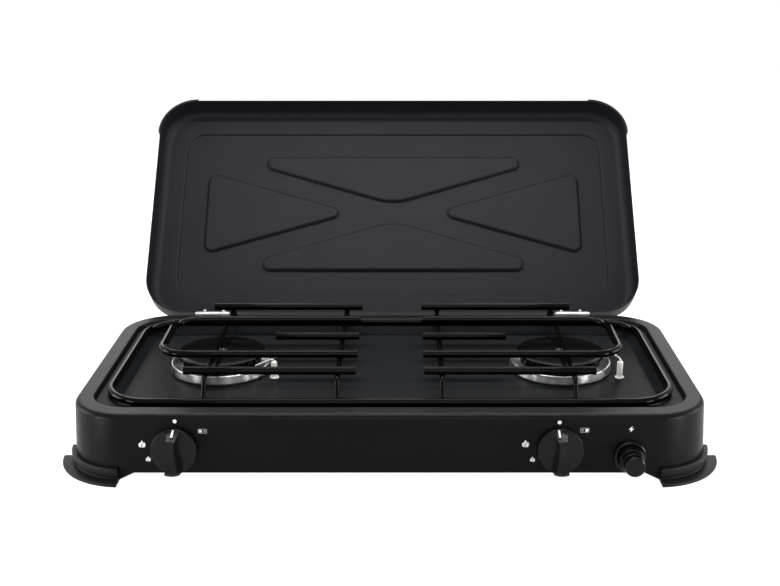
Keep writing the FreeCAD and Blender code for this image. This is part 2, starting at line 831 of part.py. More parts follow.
def grip():
    """The bar across the knob: drafted sides with a waist, sloped ends and a dished front."""
    foot, top = knob_gap + knob_edge, knob_gap + knob_height
    wires = []
    for width, z in ((grip_foot_width, foot), (grip_width, top)):
        x = width / 2
        waist = x - grip_waist
        sides = [Part.Arc(V(x, -grip_radius, z), V(waist, 0, z), V(x, grip_radius, z)).toShape(),
                 Part.makeLine(V(x, grip_radius, z), V(-x, grip_radius, z)),
                 Part.Arc(V(-x, grip_radius, z), V(-waist, 0, z), V(-x, -grip_radius, z)).toShape(),
                 Part.makeLine(V(-x, -grip_radius, z), V(x, -grip_radius, z))]
        wires.append(Part.Wire(sides))
    bar = Part.makeLoft(wires, True, True)
    bar = bar.common(turned([(0, foot), (grip_radius, foot), (grip_radius, knob_gap + knob_skirt),
                             (grip_front_radius, top), (0, top)]))
    dish = (grip_dish_half ** 2 + grip_dish_depth ** 2) / (2 * grip_dish_depth)
    level = top - grip_dish_depth + dish
    bar = bar.cut(cylinder(dish, V(-grip_radius, 0, level), V(grip_radius, 0, level)))
    front = [e for e in bar.Edges if e.BoundBox.ZMin > top - grip_dish_depth - 0.1
             and e.BoundBox.YLength > grip_dish_half]
    return bar.makeFillet(grip_rounding, front)


def knob():
    base, front, top = knob_gap, knob_gap + knob_skirt, knob_gap + knob_height
    skirt = turned([(0, base), (knob_radius, base), (knob_radius, base + knob_edge),
                    (knob_front_radius, front), (0, front)])
    hollow = turned([(knob_hub, base), (knob_hollow, base), (knob_hollow, base + knob_hollow_depth),
                     (knob_hub, base + knob_hollow_depth)])
    bore = cylinder(spindle_radius + knob_bore_gap, V(0, 0, base), V(0, 0, base + knob_bore_depth))
    bore = bore.cut(box(spindle_flat + knob_bore_gap, knob_hub, -knob_hub, knob_hub, base, top))
    strip = box(-pointer_groove / 2, pointer_groove / 2, 0, knob_radius, front, front + pointer_length)
    core = turned([(0, front), (grip_radius - pointer_depth, front),
                   (grip_front_radius - pointer_depth, top), (0, top)])
    return skirt.fuse(grip()).cut([hollow, bore, strip.cut(core)])


# Gas pipe, mixing tubes and injectors

def gas_manifold():
    start = V(pipe_start_x, pipe_front.y, pipe_front.z)
    turn = V(pipe_turn_x, pipe_front.y, pipe_front.z)
    wall = V(pipe_turn_x, wall_y(inlet_height), inlet_height)
    inward = (turn - wall).normalize()
    end = wall + inward * (base_sheet + inlet_collar_length)
    pipe = bent_rod([start, turn, end], pipe_radius, pipe_bend)
    bore = bent_rod([start + V(pipe_end_cap, 0, 0), turn, end], pipe_radius - pipe_wall, pipe_bend)
    ways = [cylinder(tap_gas_bore, V(x, pipe_front.y, pipe_front.z),
                     front_point(x, tap_height, 0, -pipe_depth)) for x in taps.values()]
    return pipe.cut([bore] + ways)


def inlet_nozzle():
    inner, collar = -base_sheet, -base_sheet - inlet_collar_length
    socket = collar - inlet_socket_length
    tip = inlet_thread_length + spigot_length
    body = fused([hexagon(inlet_collar_radius * math.sqrt(3), collar, inner),
                  cylinder(inlet_socket_radius, V(0, 0, socket), V(0, 0, collar)),
                  cylinder(inlet_thread_radius, V(0, 0, inner), V(0, 0, inlet_thread_length)),
                  cylinder(spigot_radius, V(0, 0, inlet_thread_length), V(0, 0, tip))])
    body = body.cut([cylinder(spigot_bore, V(0, 0, collar), V(0, 0, tip)),
                     cylinder(pipe_radius + pipe_gap, V(0, 0, socket), V(0, 0, collar))])
    return on_rear(body, pipe_turn_x, inlet_height)


def inlet_nut():
    return on_rear(hexagon(inlet_nut_width, 0, inlet_nut_height, inlet_thread_radius + pipe_gap),
                   pipe_turn_x, inlet_height)


def mixing_tube(side):
    x, end_x = taps[side], burners[side]
    top = floor_top + cup_sheet - tube_top_gap
    points = [front_point(x, tap_height, 0, -tube_start), front_point(x, tap_height, 0, -tube_bend_depth),
              V(end_x, burner_y, elbow_height), V(end_x, burner_y, top)]
    bends = [tube_bend, elbow_radius]
    tube = bent_rod(points, tube_radius, bends).cut(bent_rod(points, tube_radius - tube_wall, bends))
    air = front_point(x, tap_height, 0, -air_hole_depth)
    across, upright = V(tube_radius + margin, 0, 0), V(0, 0, tube_radius + margin)
    return tube.cut([cylinder(air_hole_radius, air - across, air + across),
                     cylinder(air_hole_radius, air - upright, air + upright)])


def injector():
    seat = -tap_barrel_end - nose_length
    head = hexagon(jet_head_width, seat - jet_head_length, seat)
    thread = cylinder(nose_bore - jet_gap, V(0, 0, seat), V(0, 0, seat + jet_thread_length))
    way = cylinder(jet_bore, V(0, 0, seat - jet_head_length), V(0, 0, seat + jet_thread_length))
    return head.fuse(thread).cut(way)


# Ignition

def insulator(side):
    profile = [(insulator_bore, insulator_bottom), (insulator_radius, insulator_bottom),
               (insulator_radius, floor_top), (insulator_flange, floor_top),
               (insulator_flange, floor_top + insulator_flange_height),
               (insulator_radius, floor_top + insulator_flange_height),
               (insulator_radius, insulator_top - insulator_tip_height),
               (insulator_radius - insulator_tip_step, insulator_top), (insulator_bore, insulator_top)]
    body = turned(profile)
    body.translate(V(burners[side] + electrode_dx, electrode_y, 0))
    return body


def electrode_wire(side):
    x = burners[side] + electrode_dx
    points = [V(x, electrode_y, insulator_bottom), V(x, electrode_y, electrode_wire_top)]
    if side == "left":
        points.append(V(x - left_spark_reach, electrode_y - left_spark_side,
                        electrode_wire_top - left_spark_drop))
        return bent_rod(points, electrode_wire_radius, electrode_bend)
    points += [V(x - right_arm_in, electrode_y + right_arm_back, electrode_wire_top),
               V(x - right_spark_in, electrode_y + right_spark_back, electrode_wire_top - right_spark_drop)]
    return bent_rod(points, electrode_wire_radius, [electrode_bend, 2 * electrode_bend])


def ignition_lead(side):
    """The lead from the igniter's terminal to the lower end of its electrode."""
    x_end = burners[side] + electrode_dx
    offset = terminal_spacing / 2 * (-1 if side == "left" else 1)
    depth = igniter_length + terminal_length
    route = [front_point(igniter_x + offset, igniter_height, 0, -depth),
             front_point(igniter_x + offset, igniter_height, 0, -depth - lead_exit)]
    last = [V(x_end, electrode_y, lead_low), V(x_end, electrode_y, insulator_bottom)]
    if side == "right":
        route.append(V(x_end, electrode_y - lead_exit, igniter_height))
        return bent_rod(route + last, lead_radius, right_lead_bends)
    route += [V(igniter_x - lead_exit, electrode_y - lead_setback, lead_low),
              V(igniter_x - lead_run_right_gap, lead_run_y, lead_run_height),
              V(x_end + lead_run_left_gap, lead_run_y, lead_run_height),
              V(x_end + lead_approach, electrode_y - lead_approach, lead_low)]
    return bent_rod(route + last, lead_radius, left_lead_bends)


def igniter_body():
    profile = [(pocket_radius, bezel_height), (bezel_radius, bezel_height), (bezel_radius, 0),
               (sleeve_radius, 0), (sleeve_radius, -sleeve_length), (igniter_rear_radius, -sleeve_length),
               (igniter_rear_radius, -igniter_length), (0, -igniter_length), (0, -igniter_bore_end),
               (igniter_bore, -igniter_bore_end), (igniter_bore, -pocket_depth),
               (pocket_radius, -pocket_depth)]
    body = turned(profile)
    outer_rim = max(edges_at(body, bezel_height), key=lambda e: e.Length)
    body = body.makeFillet(bezel_rounding, [outer_rim])
    pegs = [cylinder(terminal_radius, V(side * terminal_spacing / 2, 0, -igniter_length - terminal_length),
                     V(side * terminal_spacing / 2, 0, -igniter_length)) for side in (-1, 1)]
    return on_front(fused([body] + pegs), igniter_x, igniter_height)


def igniter_nut():
    nut = turned([(sleeve_radius + pipe_gap, -base_sheet - igniter_nut_height),
                  (igniter_nut_radius, -base_sheet - igniter_nut_height), (igniter_nut_radius, -base_sheet),
                  (sleeve_radius + pipe_gap, -base_sheet)])
    return on_front(nut, igniter_x, igniter_height)


def igniter_button():
    profile = [(0, button_steps[0][0])]
    for i, (radius, (low, high)) in enumerate(zip(button_radii, button_steps)):
        profile += [(radius, low), (radius, high)]
        if i < len(button_radii) - 1:
            profile += [(button_neck, high), (button_neck, button_steps[i + 1][0])]
    profile.append((0, button_steps[-1][1]))
    head = turned(profile)
    front = max(edges_at(head, button_steps[-1][1]), key=lambda e: e.Length)
    head = head.makeFillet(button_rounding, [front])
    back = V(0, 0, button_steps[0][0])
    plunger = cylinder(plunger_radius, back - V(0, 0, plunger_length), back)
    return on_front(head.fuse(plunger), igniter_x, igniter_height)


def igniter_spring():
    """The coil round the plunger, as a plain sleeve of its outer and inner size."""
    low, high = -pocket_depth, button_steps[0][0]
    sleeve = cylinder(igniter_spring_radius, V(0, 0, low), V(0, 0, high))
    sleeve = sleeve.cut(cylinder(igniter_spring_radius - spring_wall, V(0, 0, low), V(0, 0, high)))
    return on_front(sleeve, igniter_x, igniter_height)


# Pan support

def support_rim():
    arcs, runs = [], []
    corners = ((1, rim_rear, -1, 0), (-1, rim_rear, -1, 90), (-1, rim_front, 1, 180), (1, rim_front, 1, 270))
    for side, y, inward, first in corners:
        centre = V(side * (rim_half_length - rim_corner), y + inward * rim_corner, rod_z)
        angle = math.radians(first)
        start = centre + rim_corner * V(math.cos(angle), math.sin(angle), 0)
        along = V(-math.sin(angle), math.cos(angle), 0)
        section = Part.Face(Part.Wire(Part.makeCircle(rod_radius, start, along)))
        arcs.append((section.revolve(centre, V(0, 0, 1), 90), start, centre + along * rim_corner))
    for i, (bend, start, end) in enumerate(arcs):
        runs += [bend, cylinder(rod_radius, end, arcs[(i + 1) % 4][1])]
    return fused(runs)


def straight_bar(y, outer_x):
    bar = cylinder(rod_radius, V(bar_inner_x, y, bar_z), V(outer_x, y, bar_z))
    return bar.makeFillet(bar_end_rounding, [e for e in bar.Edges if e.BoundBox.XLength < 1e-3 and e.Closed])


def support_loop():
    low, high = burner_y - loop_offset, burner_y + loop_offset
    points = [V(bar_inner_x, low, bar_z), V(loop_outer_x, low, bar_z), V(loop_outer_x, high, bar_z),
              V(bar_inner_x, high, bar_z)]
    return bent_rod(points, rod_radius, loop_corner)


def cross_wires(bars, rim):
    wires = []
    for x in wire_x:
        points = [V(x, rim_front, rod_z), V(x, wire_front, wire_z), V(x, wire_rear, wire_z),
                  V(x, rim_rear, rod_z)]
        wire = bent_rod(points, wire_radius, wire_bend)
        wire = max(wire.cut(bars + [rim]).Solids, key=lambda s: s.Volume)
        wires += [wire, mirrored(wire)]
    return Part.makeCompound(wires)


def support_clip(x):
    """A sheet hook that stands on the ledge behind the rim rod and closes over it."""
    inner = rod_radius + clip_gap
    outer = inner + clip_sheet
    start = V(x - clip_width / 2, rim_rear, rod_z)
    end = V(x + clip_width / 2, rim_rear, rod_z)
    ring = cylinder(outer, start, end).cut(cylinder(inner, start, end))
    top = box(start.x, end.x, rim_rear - outer, rim_rear + outer, rod_z, rod_z + outer)
    lean, reach = math.radians(clip_open_angle), 2 * outer
    mouth = Part.makePolygon([V(start.x, rim_rear, rod_z), V(start.x, rim_rear - reach, rod_z),
                              V(start.x, rim_rear - reach * math.cos(lean), rod_z + reach * math.sin(lean)),
                              V(start.x, rim_rear, rod_z)])
    mouth = Part.Face(mouth).extrude(V(clip_width, 0, 0))
    leg = box(start.x, end.x, rim_rear + inner, rim_rear + outer, ledge_top, rod_z)
    return fused([ring.common(top).cut(mouth), leg])


# Hinges

def leaf_outline(low, high):
    return [V(0, wall_y(low), low), V(0, wall_y(low) + base_leaf_sheet, low),
            V(0, wall_y(high) + base_leaf_sheet, high), V(0, wall_y(high), high), V(0, wall_y(low), low)]


def hinge_base_leaf(x):
    half, centre = hinge_length / 2, hinge_knuckle / 2
    top = hinge_z - base_knuckle_radius
    plate = Part.Face(Part.makePolygon(leaf_outline(base_leaf_bottom, top))).extrude(V(hinge_length, 0, 0))
    plate.translate(V(-half, 0, 0))
    tongue = Part.Face(Part.makePolygon(leaf_outline(top - margin, hinge_z))).extrude(V(hinge_knuckle, 0, 0))
    tongue.translate(V(-centre, 0, 0))
    knuckle = cylinder(base_knuckle_radius, V(-centre, hinge_y, hinge_z), V(centre, hinge_y, hinge_z))
    hole = cylinder(pin_radius + pin_hold_gap, V(-centre, hinge_y, hinge_z), V(centre, hinge_y, hinge_z))
    leaf = fused([plate, tongue, knuckle]).cut(hole)
    leaf.translate(V(x, 0, 0))
    screws = [on_rear(wall_hole(hinge_screw_radius + screw_hole_gap, side * base_screw_spacing / 2),
                      x, base_screw_z) for side in (-1, 1)]
    return leaf.cut(screws)


def hinge_screw():
    return pan_screw(hinge_screw_radius, hinge_screw_length, hinge_screw_head, hinge_screw_head_height)


def hinge_base_screws():
    screws = []
    for x in hinges.values():
        for side in (-1, 1):
            screw = hinge_screw()
            screw.translate(V(0, 0, base_leaf_sheet * math.cos(math.radians(wall_flare))))
            screws.append(on_rear(screw, x + side * base_screw_spacing / 2, base_screw_z))
    return Part.makeCompound(screws)


def hinge_pin(x):
    half = hinge_length / 2 + part_gap
    points = [V(x - half, hinge_y, hinge_z), V(x + half, hinge_y, hinge_z)]
    heads = [cylinder(pin_head_radius, points[0] - V(pin_head_length, 0, 0), points[0]),
             cylinder(pin_head_radius, points[1], points[1] + V(pin_head_length, 0, 0))]
    return fused([cylinder(pin_radius, *points)] + heads)


def hinge_lid_leaf(x):
    half, centre = hinge_length / 2, hinge_knuckle / 2 + hinge_side_gap
    plate = box(-half, half, lid_rear, lid_rear + lid_leaf_sheet, hinge_z, lid_low + lid_leaf_height)
    spans = [(V(a, hinge_y, hinge_z), V(b, hinge_y, hinge_z)) for a, b in ((-half, -centre), (centre, half))]
    knuckles = [cylinder(lid_knuckle_radius, *span) for span in spans]
    bores = [cylinder(pin_radius + pin_run_gap, *span) for span in spans]
    clear = cylinder(base_knuckle_radius + leaf_clearance, spans[0][1], spans[1][0])
    leaf = fused([plate] + knuckles).cut(bores + [clear])
    leaf.translate(V(x, 0, 0))
    return leaf.cut(lid_screw_holes(x))


def lid_screw_holes(x):
    """The two holes of one hinge, through its leaf and the lid's rear wall."""
    start, through = lid_rear - lid_sheet - margin, V(0, lid_sheet + lid_leaf_sheet + 2 * margin, 0)
    centres = [V(x + side * lid_screw_spacing / 2, start, lid_screw_z) for side in (-1, 1)]
    return [cylinder(hinge_screw_radius + screw_hole_gap, centre, centre + through) for centre in centres]


def hinge_lid_screws():
    screws = []
    for x in hinges.values():
        for side in (-1, 1):
            seat = V(x + side * lid_screw_spacing / 2, lid_rear + lid_leaf_sheet, lid_screw_z)
            place = FreeCAD.Placement(seat, FreeCAD.Rotation(V(1, 0, 0), -90))
            screws.append(hinge_screw().transformed(place.toMatrix(), True))
    return Part.makeCompound(screws)


# Lid, drawn closed

def field_wire(corners, z, shrink):
    """A polygon of (x, y, radius) corners, counter-clockwise, moved inwards by shrink, at height z."""
    points = [V(x, y, 0) for x, y, radius in corners]
    count = len(points)
    ends = []
    for i, point in enumerate(points):
        before = (point - points[i - 1]).normalize()
        after = (points[(i + 1) % count] - point).normalize()
        half_turn = before.getAngle(after) / 2
        inward = (after - before).normalize()
        radius = corners[i][2] - shrink
        point = point + inward * (shrink / math.cos(half_turn)) + V(0, 0, z)
        back = radius * math.tan(half_turn)
        ends.append((point - before * back, point + inward * (radius / math.cos(half_turn) - radius),
                     point + after * back))
    edges = []
    for i, (start, middle, end) in enumerate(ends):
        edges += [Part.Arc(start, middle, end).toShape(), Part.makeLine(end, ends[(i + 1) % count][0])]
    return Part.Wire(edges)


def pressed_fields(grow):
    """The four fields pressed back from the raised step, as solids that are larger by grow all round."""
    end_y = wide_field_edge - wide_field_end
    wide = [(-wide_field_half, wide_field_edge, field_rounding), (-wide_field_half, end_y, field_rounding),
            (0, wide_field_apex, apex_rounding), (wide_field_half, end_y, field_rounding),
            (wide_field_half, wide_field_edge, field_rounding)]
    side = [(side_field_edge, side_field_half, field_rounding), (side_field_tip, 0, field_rounding),
            (side_field_edge, -side_field_half, field_rounding)]
    solids = []
    for corners, flip in ((wide, V(0, 1, 0)), (side, V(1, 0, 0))):
        wires = [field_wire(corners, lid_top + step_height - grow, -field_slope / 2 - grow),
                 field_wire(corners, lid_top - grow, field_slope / 2 - grow)]
        solid = Part.makeLoft(wires, True, True)
        solids += [solid, solid.mirror(V(0, 0, 0), flip)]
    for solid in solids:
        solid.translate(V(0, field_centre, 0))
    return solids


def lid_solid(inset):
    """The outer form of the lid, or with an inset the form of its hollow."""
    half = lid_length / 2 - inset
    z_low = lid_low - (margin if inset else 0)
    body = sloped_block(half, lid_front + inset, lid_rear - inset, lid_corner - inset,
                        z_low, lid_top - inset, 0, 0)
    body = body.makeFillet(lid_rounding - inset, edges_at(body, lid_top - inset))
    step = sloped_block(step_length / 2 - inset, step_front + inset, step_rear - inset, step_corner - inset,
                        lid_top - inset - margin, lid_top + step_height - inset,
                        step_slope / step_height, -step_slope)
    return body.fuse(step).cut(pressed_fields(inset))


def lid_panel():
    panel = lid_solid(0).cut(lid_solid(lid_sheet))
    return panel.cut([hole for x in hinges.values() for hole in lid_screw_holes(x)])


def lid_guard(side):
    outer = lid_corner + guard_thickness
    profile = [(lid_corner, 0), (outer, 0), (outer, guard_height), (lid_corner, guard_height)]
    band = turned(profile, 90)
    band = band.makeFillet(guard_rounding, [e for e in band.Edges if e.Length > 1.5 * outer])
    band = band.mirror(V(0, 0, 0), V(0, 1, 0))
    if side < 0:
        band = mirrored(band)
    band.translate(V(side * (lid_length / 2 - lid_corner), lid_front + lid_corner, lid_low))
    return band


def opened(shape):
    shape = shape.copy()
    shape.rotate(hinge_axis_point, V(-1, 0, 0), lid_open_angle)
    return shape


# The whole stove

def all_parts():
    parts = {"base_housing": base_housing(), "hob_tray": hob_tray()}
    for name_y, side_y in (("front", -1), ("rear", 1)):
        for name_x, side_x in (("left", -1), ("right", 1)):
            parts[f"{name_y}_{name_x}_foot"] = foot(side_x, side_y)
    parts["foot_screws"] = Part.makeCompound([foot_screw(a, b) for a in (-1, 1) for b in (-1, 1)])
    cup, head, cap = burner_cup(), burner_head(), burner_cap()
    body, plug, shaft, spring = tap_body(), tap_plug(), spindle(), tap_spring()
    cover, jet = knob(), injector()
    for side, x in taps.items():
        parts[f"{side}_burner_cup"] = at_burner(cup, side)
        parts[f"{side}_burner_head"] = at_burner(head, side)
        parts[f"{side}_burner_cap"] = at_burner(cap, side)
        parts[f"{side}_mixing_tube"] = mixing_tube(side)
        parts[f"{side}_tap_body"] = on_front(body, x, tap_height)
        parts[f"{side}_tap_plug"] = on_front(plug, x, tap_height)
        parts[f"{side}_tap_spring"] = on_front(spring, x, tap_height)
        parts[f"{side}_spindle"] = on_front(shaft, x, tap_height)
        parts[f"{side}_knob"] = on_front(cover, x, tap_height)
        parts[f"{side}_electrode_insulator"] = insulator(side)
        parts[f"{side}_ignition_lead"] = ignition_lead(side)
    parts["injectors"] = Part.makeCompound([on_front(jet, x, tap_height) for x in taps.values()])
    parts["burner_cap_screws"] = Part.makeCompound([at_burner(burner_cap_screw(), s) for s in burners])
    parts["burner_nuts"] = Part.makeCompound([at_burner(burner_nut(), s) for s in burners])
    parts["electrode_wires"] = Part.makeCompound([electrode_wire(s) for s in burners])
    parts["tap_screws"] = tap_screws()
    parts["gas_manifold"] = gas_manifold()
    parts["inlet_nozzle"] = inlet_nozzle()
    parts["inlet_nut"] = inlet_nut()
    parts["igniter_body"] = igniter_body()
    parts["igniter_nut"] = igniter_nut()
    parts["igniter_button"] = igniter_button()
    parts["igniter_spring"] = igniter_spring()
    parts.update(pan_support())
    parts["support_clips"] = Part.makeCompound([support_clip(-clip_x), support_clip(clip_x)])
    for side, x in hinges.items():
        parts[f"{side}_hinge_base_leaf"] = hinge_base_leaf(x)
        parts[f"{side}_hinge_lid_leaf"] = opened(hinge_lid_leaf(x))
    parts["hinge_pins"] = Part.makeCompound([hinge_pin(x) for x in hinges.values()])
    parts["hinge_base_screws"] = hinge_base_screws()
    parts["hinge_lid_screws"] = opened(hinge_lid_screws())
    parts["lid_panel"] = opened(lid_panel())
    parts["lid_left_corner_guard"] = opened(lid_guard(-1))
    parts["lid_right_corner_guard"] = opened(lid_guard(1))
    return parts


def pan_support():
    rim, loop = support_rim(), support_loop()
    front = straight_bar(burner_y - bar_offset, bar_outer_x)
    rear = straight_bar(burner_y + bar_offset, bar_outer_x)
    short = straight_bar(burner_y, short_bar_outer_x)
    return {"support_rim": rim, "left_support_loop": mirrored(loop), "right_support_loop": loop,
            "front_support_bars": Part.makeCompound([mirrored(front), front]),
            "rear_support_bars": Part.makeCompound([mirrored(rear), rear]),
            "short_support_bars": Part.makeCompound([mirrored(short), short]),
            "support_cross_wires": cross_wires([front, rear, short, loop], rim)}


def report(name, point, shift):
    moved = point + shift
    print(f"{name}: {moved.x:.4f} {moved.y:.4f} {moved.z:.4f}")


def main():
    parts = all_parts()
    whole = Part.makeCompound(list(parts.values())).optimalBoundingBox(False, False)
    shift = V(-(whole.XMin + whole.XMax) / 2, -(whole.YMin + whole.YMax) / 2, -whole.ZMin)
    os.makedirs("parts", exist_ok=True)
    for name, shape in parts.items():
        shape.translate(shift)
        shape.exportStep(f"parts/{name}.step")
    print(f"{len(parts)} parts, box {whole.XLength:.2f} x {whole.YLength:.2f} x {whole.ZLength:.2f}")
    report("shift", V(0, 0, 0), shift)
    report("lid hinge", hinge_axis_point, shift)
    report("support pivot", V(0, rim_rear, rod_z), shift)
    for side, x in taps.items():
        report(f"{side} knob axis", front_point(x, tap_height, 0, 0), shift)
    report("igniter axis", front_point(igniter_x, igniter_height, 0, 0), shift)
    report("panel normal", front_normal, V(0, 0, 0))
    spigot = V(0, math.cos(math.radians(wall_flare)), math.sin(math.radians(wall_flare)))
    wall = V(pipe_turn_x, wall_y(inlet_height), inlet_height)
    report("spigot middle", wall + spigot * (inlet_thread_length + spigot_length / 2), shift)


main()
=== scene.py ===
import json
import math

import bmesh
import bpy
from mathutils import Matrix, Vector


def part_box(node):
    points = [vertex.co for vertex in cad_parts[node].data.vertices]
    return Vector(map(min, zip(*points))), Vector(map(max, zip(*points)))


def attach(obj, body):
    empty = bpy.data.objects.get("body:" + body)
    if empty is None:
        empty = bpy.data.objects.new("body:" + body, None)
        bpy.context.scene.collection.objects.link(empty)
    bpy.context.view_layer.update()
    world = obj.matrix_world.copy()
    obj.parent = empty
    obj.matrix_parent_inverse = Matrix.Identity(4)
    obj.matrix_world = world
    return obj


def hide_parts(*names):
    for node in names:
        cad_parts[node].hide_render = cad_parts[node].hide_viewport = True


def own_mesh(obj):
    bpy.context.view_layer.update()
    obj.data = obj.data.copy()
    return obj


# A two-burner camping stove with its lid open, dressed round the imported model. Sizes are in millimetres,
# and Y counts from the middle of the base.

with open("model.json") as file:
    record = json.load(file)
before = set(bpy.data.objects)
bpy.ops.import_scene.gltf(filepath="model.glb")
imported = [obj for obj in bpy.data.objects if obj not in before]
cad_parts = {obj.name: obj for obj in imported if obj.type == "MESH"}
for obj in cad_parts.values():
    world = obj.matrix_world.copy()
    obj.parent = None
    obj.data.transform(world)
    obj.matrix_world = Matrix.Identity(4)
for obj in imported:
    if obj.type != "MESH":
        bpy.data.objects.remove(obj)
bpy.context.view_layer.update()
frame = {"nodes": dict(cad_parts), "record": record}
mm = 0.001
samePlace = 1e-6  # metres: points closer than this count as one
sharpAngle = 35.0  # degrees: a sharper edge is seen as an edge
housingLow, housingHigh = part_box("base_housing")
baseY = (housingLow.y + housingHigh.y) / 2 / mm
slotOf = {part["node"]: part["material_slot"] for part in frame["record"]["subparts"]}
sides = (("left", -1), ("right", 1))


# Camera

cameraSetup = {"lens": 55.38, "sensor": 36, "tilt": 72.76, "place": (12.5, -1037.4, 443.7), "shift": -0.0186}


def makeCamera(setup):
    x, y, z = setup["place"]
    bpy.ops.object.camera_add(location=(x * mm, (y + baseY) * mm, z * mm),
                              rotation=(math.radians(setup["tilt"]), 0, 0))
    camera = bpy.context.object
    camera.name = "photoCamera"
    camera.data.sensor_width = setup["sensor"]
    camera.data.lens = setup["lens"]
    camera.data.shift_x = setup["shift"]
    bpy.context.scene.camera = camera


makeCamera(cameraSetup)
print("camera placed")


# Materials

def linearColour(hexColour):
    channels = [int(hexColour[i:i + 2], 16) / 255 for i in (1, 3, 5)]
    return tuple(c / 12.92 if c <= 0.04045 else ((c + 0.055) / 1.055) ** 2.4 for c in channels) + (1.0,)


def addNode(tree, kind, settings=None, links=None):
    node = tree.nodes.new(kind)
    for name, value in (settings or {}).items():
        if isinstance(name, str) and hasattr(node, name):
            setattr(node, name, value)
        else:
            node.inputs[name].default_value = value
    for name, socket in (links or {}).items():
        tree.links.new(socket, node.inputs[name])
    return node


# Each finish has two near colours in a slow cloud, a roughness that wanders between two values, and a
# fine relief. Cloud, mottle and grain are the sizes of those patterns, depth the height of the relief.
finishLooks = {
    # Polyester powder coat on pressed steel: satin black with a faint orange peel, drawn twice as coarse
    # as it is, to show. Housing, tray and lid carry one coat in three tones: darker on the housing and tray,
    # as painted shade, and lighter on the lid, as painted light on its inner face.
    "powderCoatShadedHousing": {"dark": "#0c0c0c", "light": "#0f0f0f", "rough": (0.32, 0.40), "cloud": 70,
                            "mottle": 12, "grain": 2.2, "depth": 0.03, "specular": 0.058},
    "powderCoatShadedTray": {"dark": "#0b0c0e", "light": "#0f1113", "rough": (0.42, 0.52), "cloud": 60,
                         "mottle": 14, "grain": 2.4, "depth": 0.03, "specular": 0.035},
    "powderCoatLitLid": {"dark": "#17181b", "light": "#1c1d21", "rough": (0.44, 0.54), "cloud": 80,
                        "mottle": 14, "grain": 2.2, "depth": 0.03, "specular": 0.1},
    # Moulded natural rubber: dull, slightly greyed, with the dry bloom that rubber gets
    "mouldedRubber": {"dark": "#0f0f0f", "light": "#141414", "rough": (0.40, 0.52), "cloud": 30,
                      "mottle": 7, "grain": 1.4, "depth": 0.04, "specular": 0.1},
    # Glass-filled nylon: a hard satin black with a fine spark-eroded mould texture
    "mouldedNylon": {"dark": "#131314", "light": "#18181a", "rough": (0.42, 0.52), "cloud": 20,
                     "mottle": 6, "grain": 1.2, "depth": 0.03, "specular": 0.15},
    # Injection-moulded ABS: smooth satin black that shows soft lamp reflections along its edges
    "mouldedAbs": {"dark": "#0d0d0e", "light": "#121213", "rough": (0.22, 0.30), "cloud": 25,
                   "mottle": 6, "grain": 1.4, "depth": 0.01, "specular": 0.13},
    # Polished ABS of the igniter: a deep black with a mirror-like skin that draws bright rings on each step
    "polishedAbs": {"dark": "#050505", "light": "#080808", "rough": (0.06, 0.09), "cloud": 25,
                    "mottle": 6, "grain": 1.4, "depth": 0.005, "specular": 0.13},
    # Extruded silicone sleeve: soft grey with a waxy surface
    "extrudedSilicone": {"dark": "#8c8f90", "light": "#9a9c9c", "rough": (0.45, 0.55), "cloud": 20,
                         "mottle": 5, "grain": 1.5, "depth": 0.03, "specular": 0.5},
    # Gloss enamel fired on steel rod: a deep glassy black, a little wavy where it ran before it set
    "glossEnamel": {"dark": "#020202", "light": "#040404", "rough": (0.06, 0.09), "cloud": 18,
                    "mottle": 9, "grain": 14, "depth": 0.03, "specular": 0.065},
    # Thin enamel on a casting: a black with some shine, and the sandy grain of the casting under it
    "castEnamel": {"dark": "#040404", "light": "#080808", "rough": (0.14, 0.20), "cloud": 15,
                   "mottle": 5, "grain": 1.6, "depth": 0.02, "specular": 0.06},
    # Glazed steatite: white with a clear wet-looking skin
    "glazedCeramic": {"dark": "#e8e4dc", "light": "#f4f2ec", "rough": (0.12, 0.2), "cloud": 8,
                      "mottle": 4, "grain": 5, "depth": 0.03, "specular": 0.5, "coat": 0.5},
    # Bright zinc plate: pale blue-white metal with a fine mottle
    "zincPlatedSteel": {"dark": "#a3a5a7", "light": "#c4c6c8", "rough": (0.24, 0.36), "cloud": 8,
                        "mottle": 4, "grain": 1.6, "depth": 0.01, "metal": 1.0},
    # A dark steel, darker than the zinc plate its slot names, that shows its edges as thin bright lines
    "darkScrewSteel": {"dark": "#2c2c2d", "light": "#3b3b3c", "rough": (0.22, 0.32), "cloud": 6,
                       "mottle": 3, "grain": 1.2, "depth": 0.01, "metal": 1.0},
    # Turned brass: warm yellow metal with faint tool chatter
    "turnedBrass": {"dark": "#b08d4a", "light": "#c9a860", "rough": (0.22, 0.32), "cloud": 9,
                    "mottle": 4, "grain": 1.2, "depth": 0.01, "metal": 1.0},
    # Drawn aluminium tube: soft grey metal, a little duller than the steel
    "drawnAluminium": {"dark": "#a9abad", "light": "#bcbec0", "rough": (0.30, 0.42), "cloud": 14,
                       "mottle": 5, "grain": 2.0, "depth": 0.01, "metal": 1.0},
    # Screen-printed epoxy ink: a flat off-white film with slightly starved patches
    "printedInk": {"dark": "#ececea", "light": "#f4f4f2", "rough": (0.45, 0.55), "cloud": 2,
                   "mottle": 2, "grain": 0.8, "depth": 0.01, "specular": 0.4},
    # The same ink in grey, for the frames and the dimmer square of each pair
    "printedGreyInk": {"dark": "#8a8a88", "light": "#969694", "rough": (0.45, 0.55), "cloud": 2,
                       "mottle": 2, "grain": 0.8, "depth": 0.01, "specular": 0.4},
}


def startMaterial(name):
    material = bpy.data.materials.new(name)
    material.use_nodes = True
    tree = material.node_tree
    tree.nodes.clear()
    return material, tree, addNode(tree, "ShaderNodeOutputMaterial")


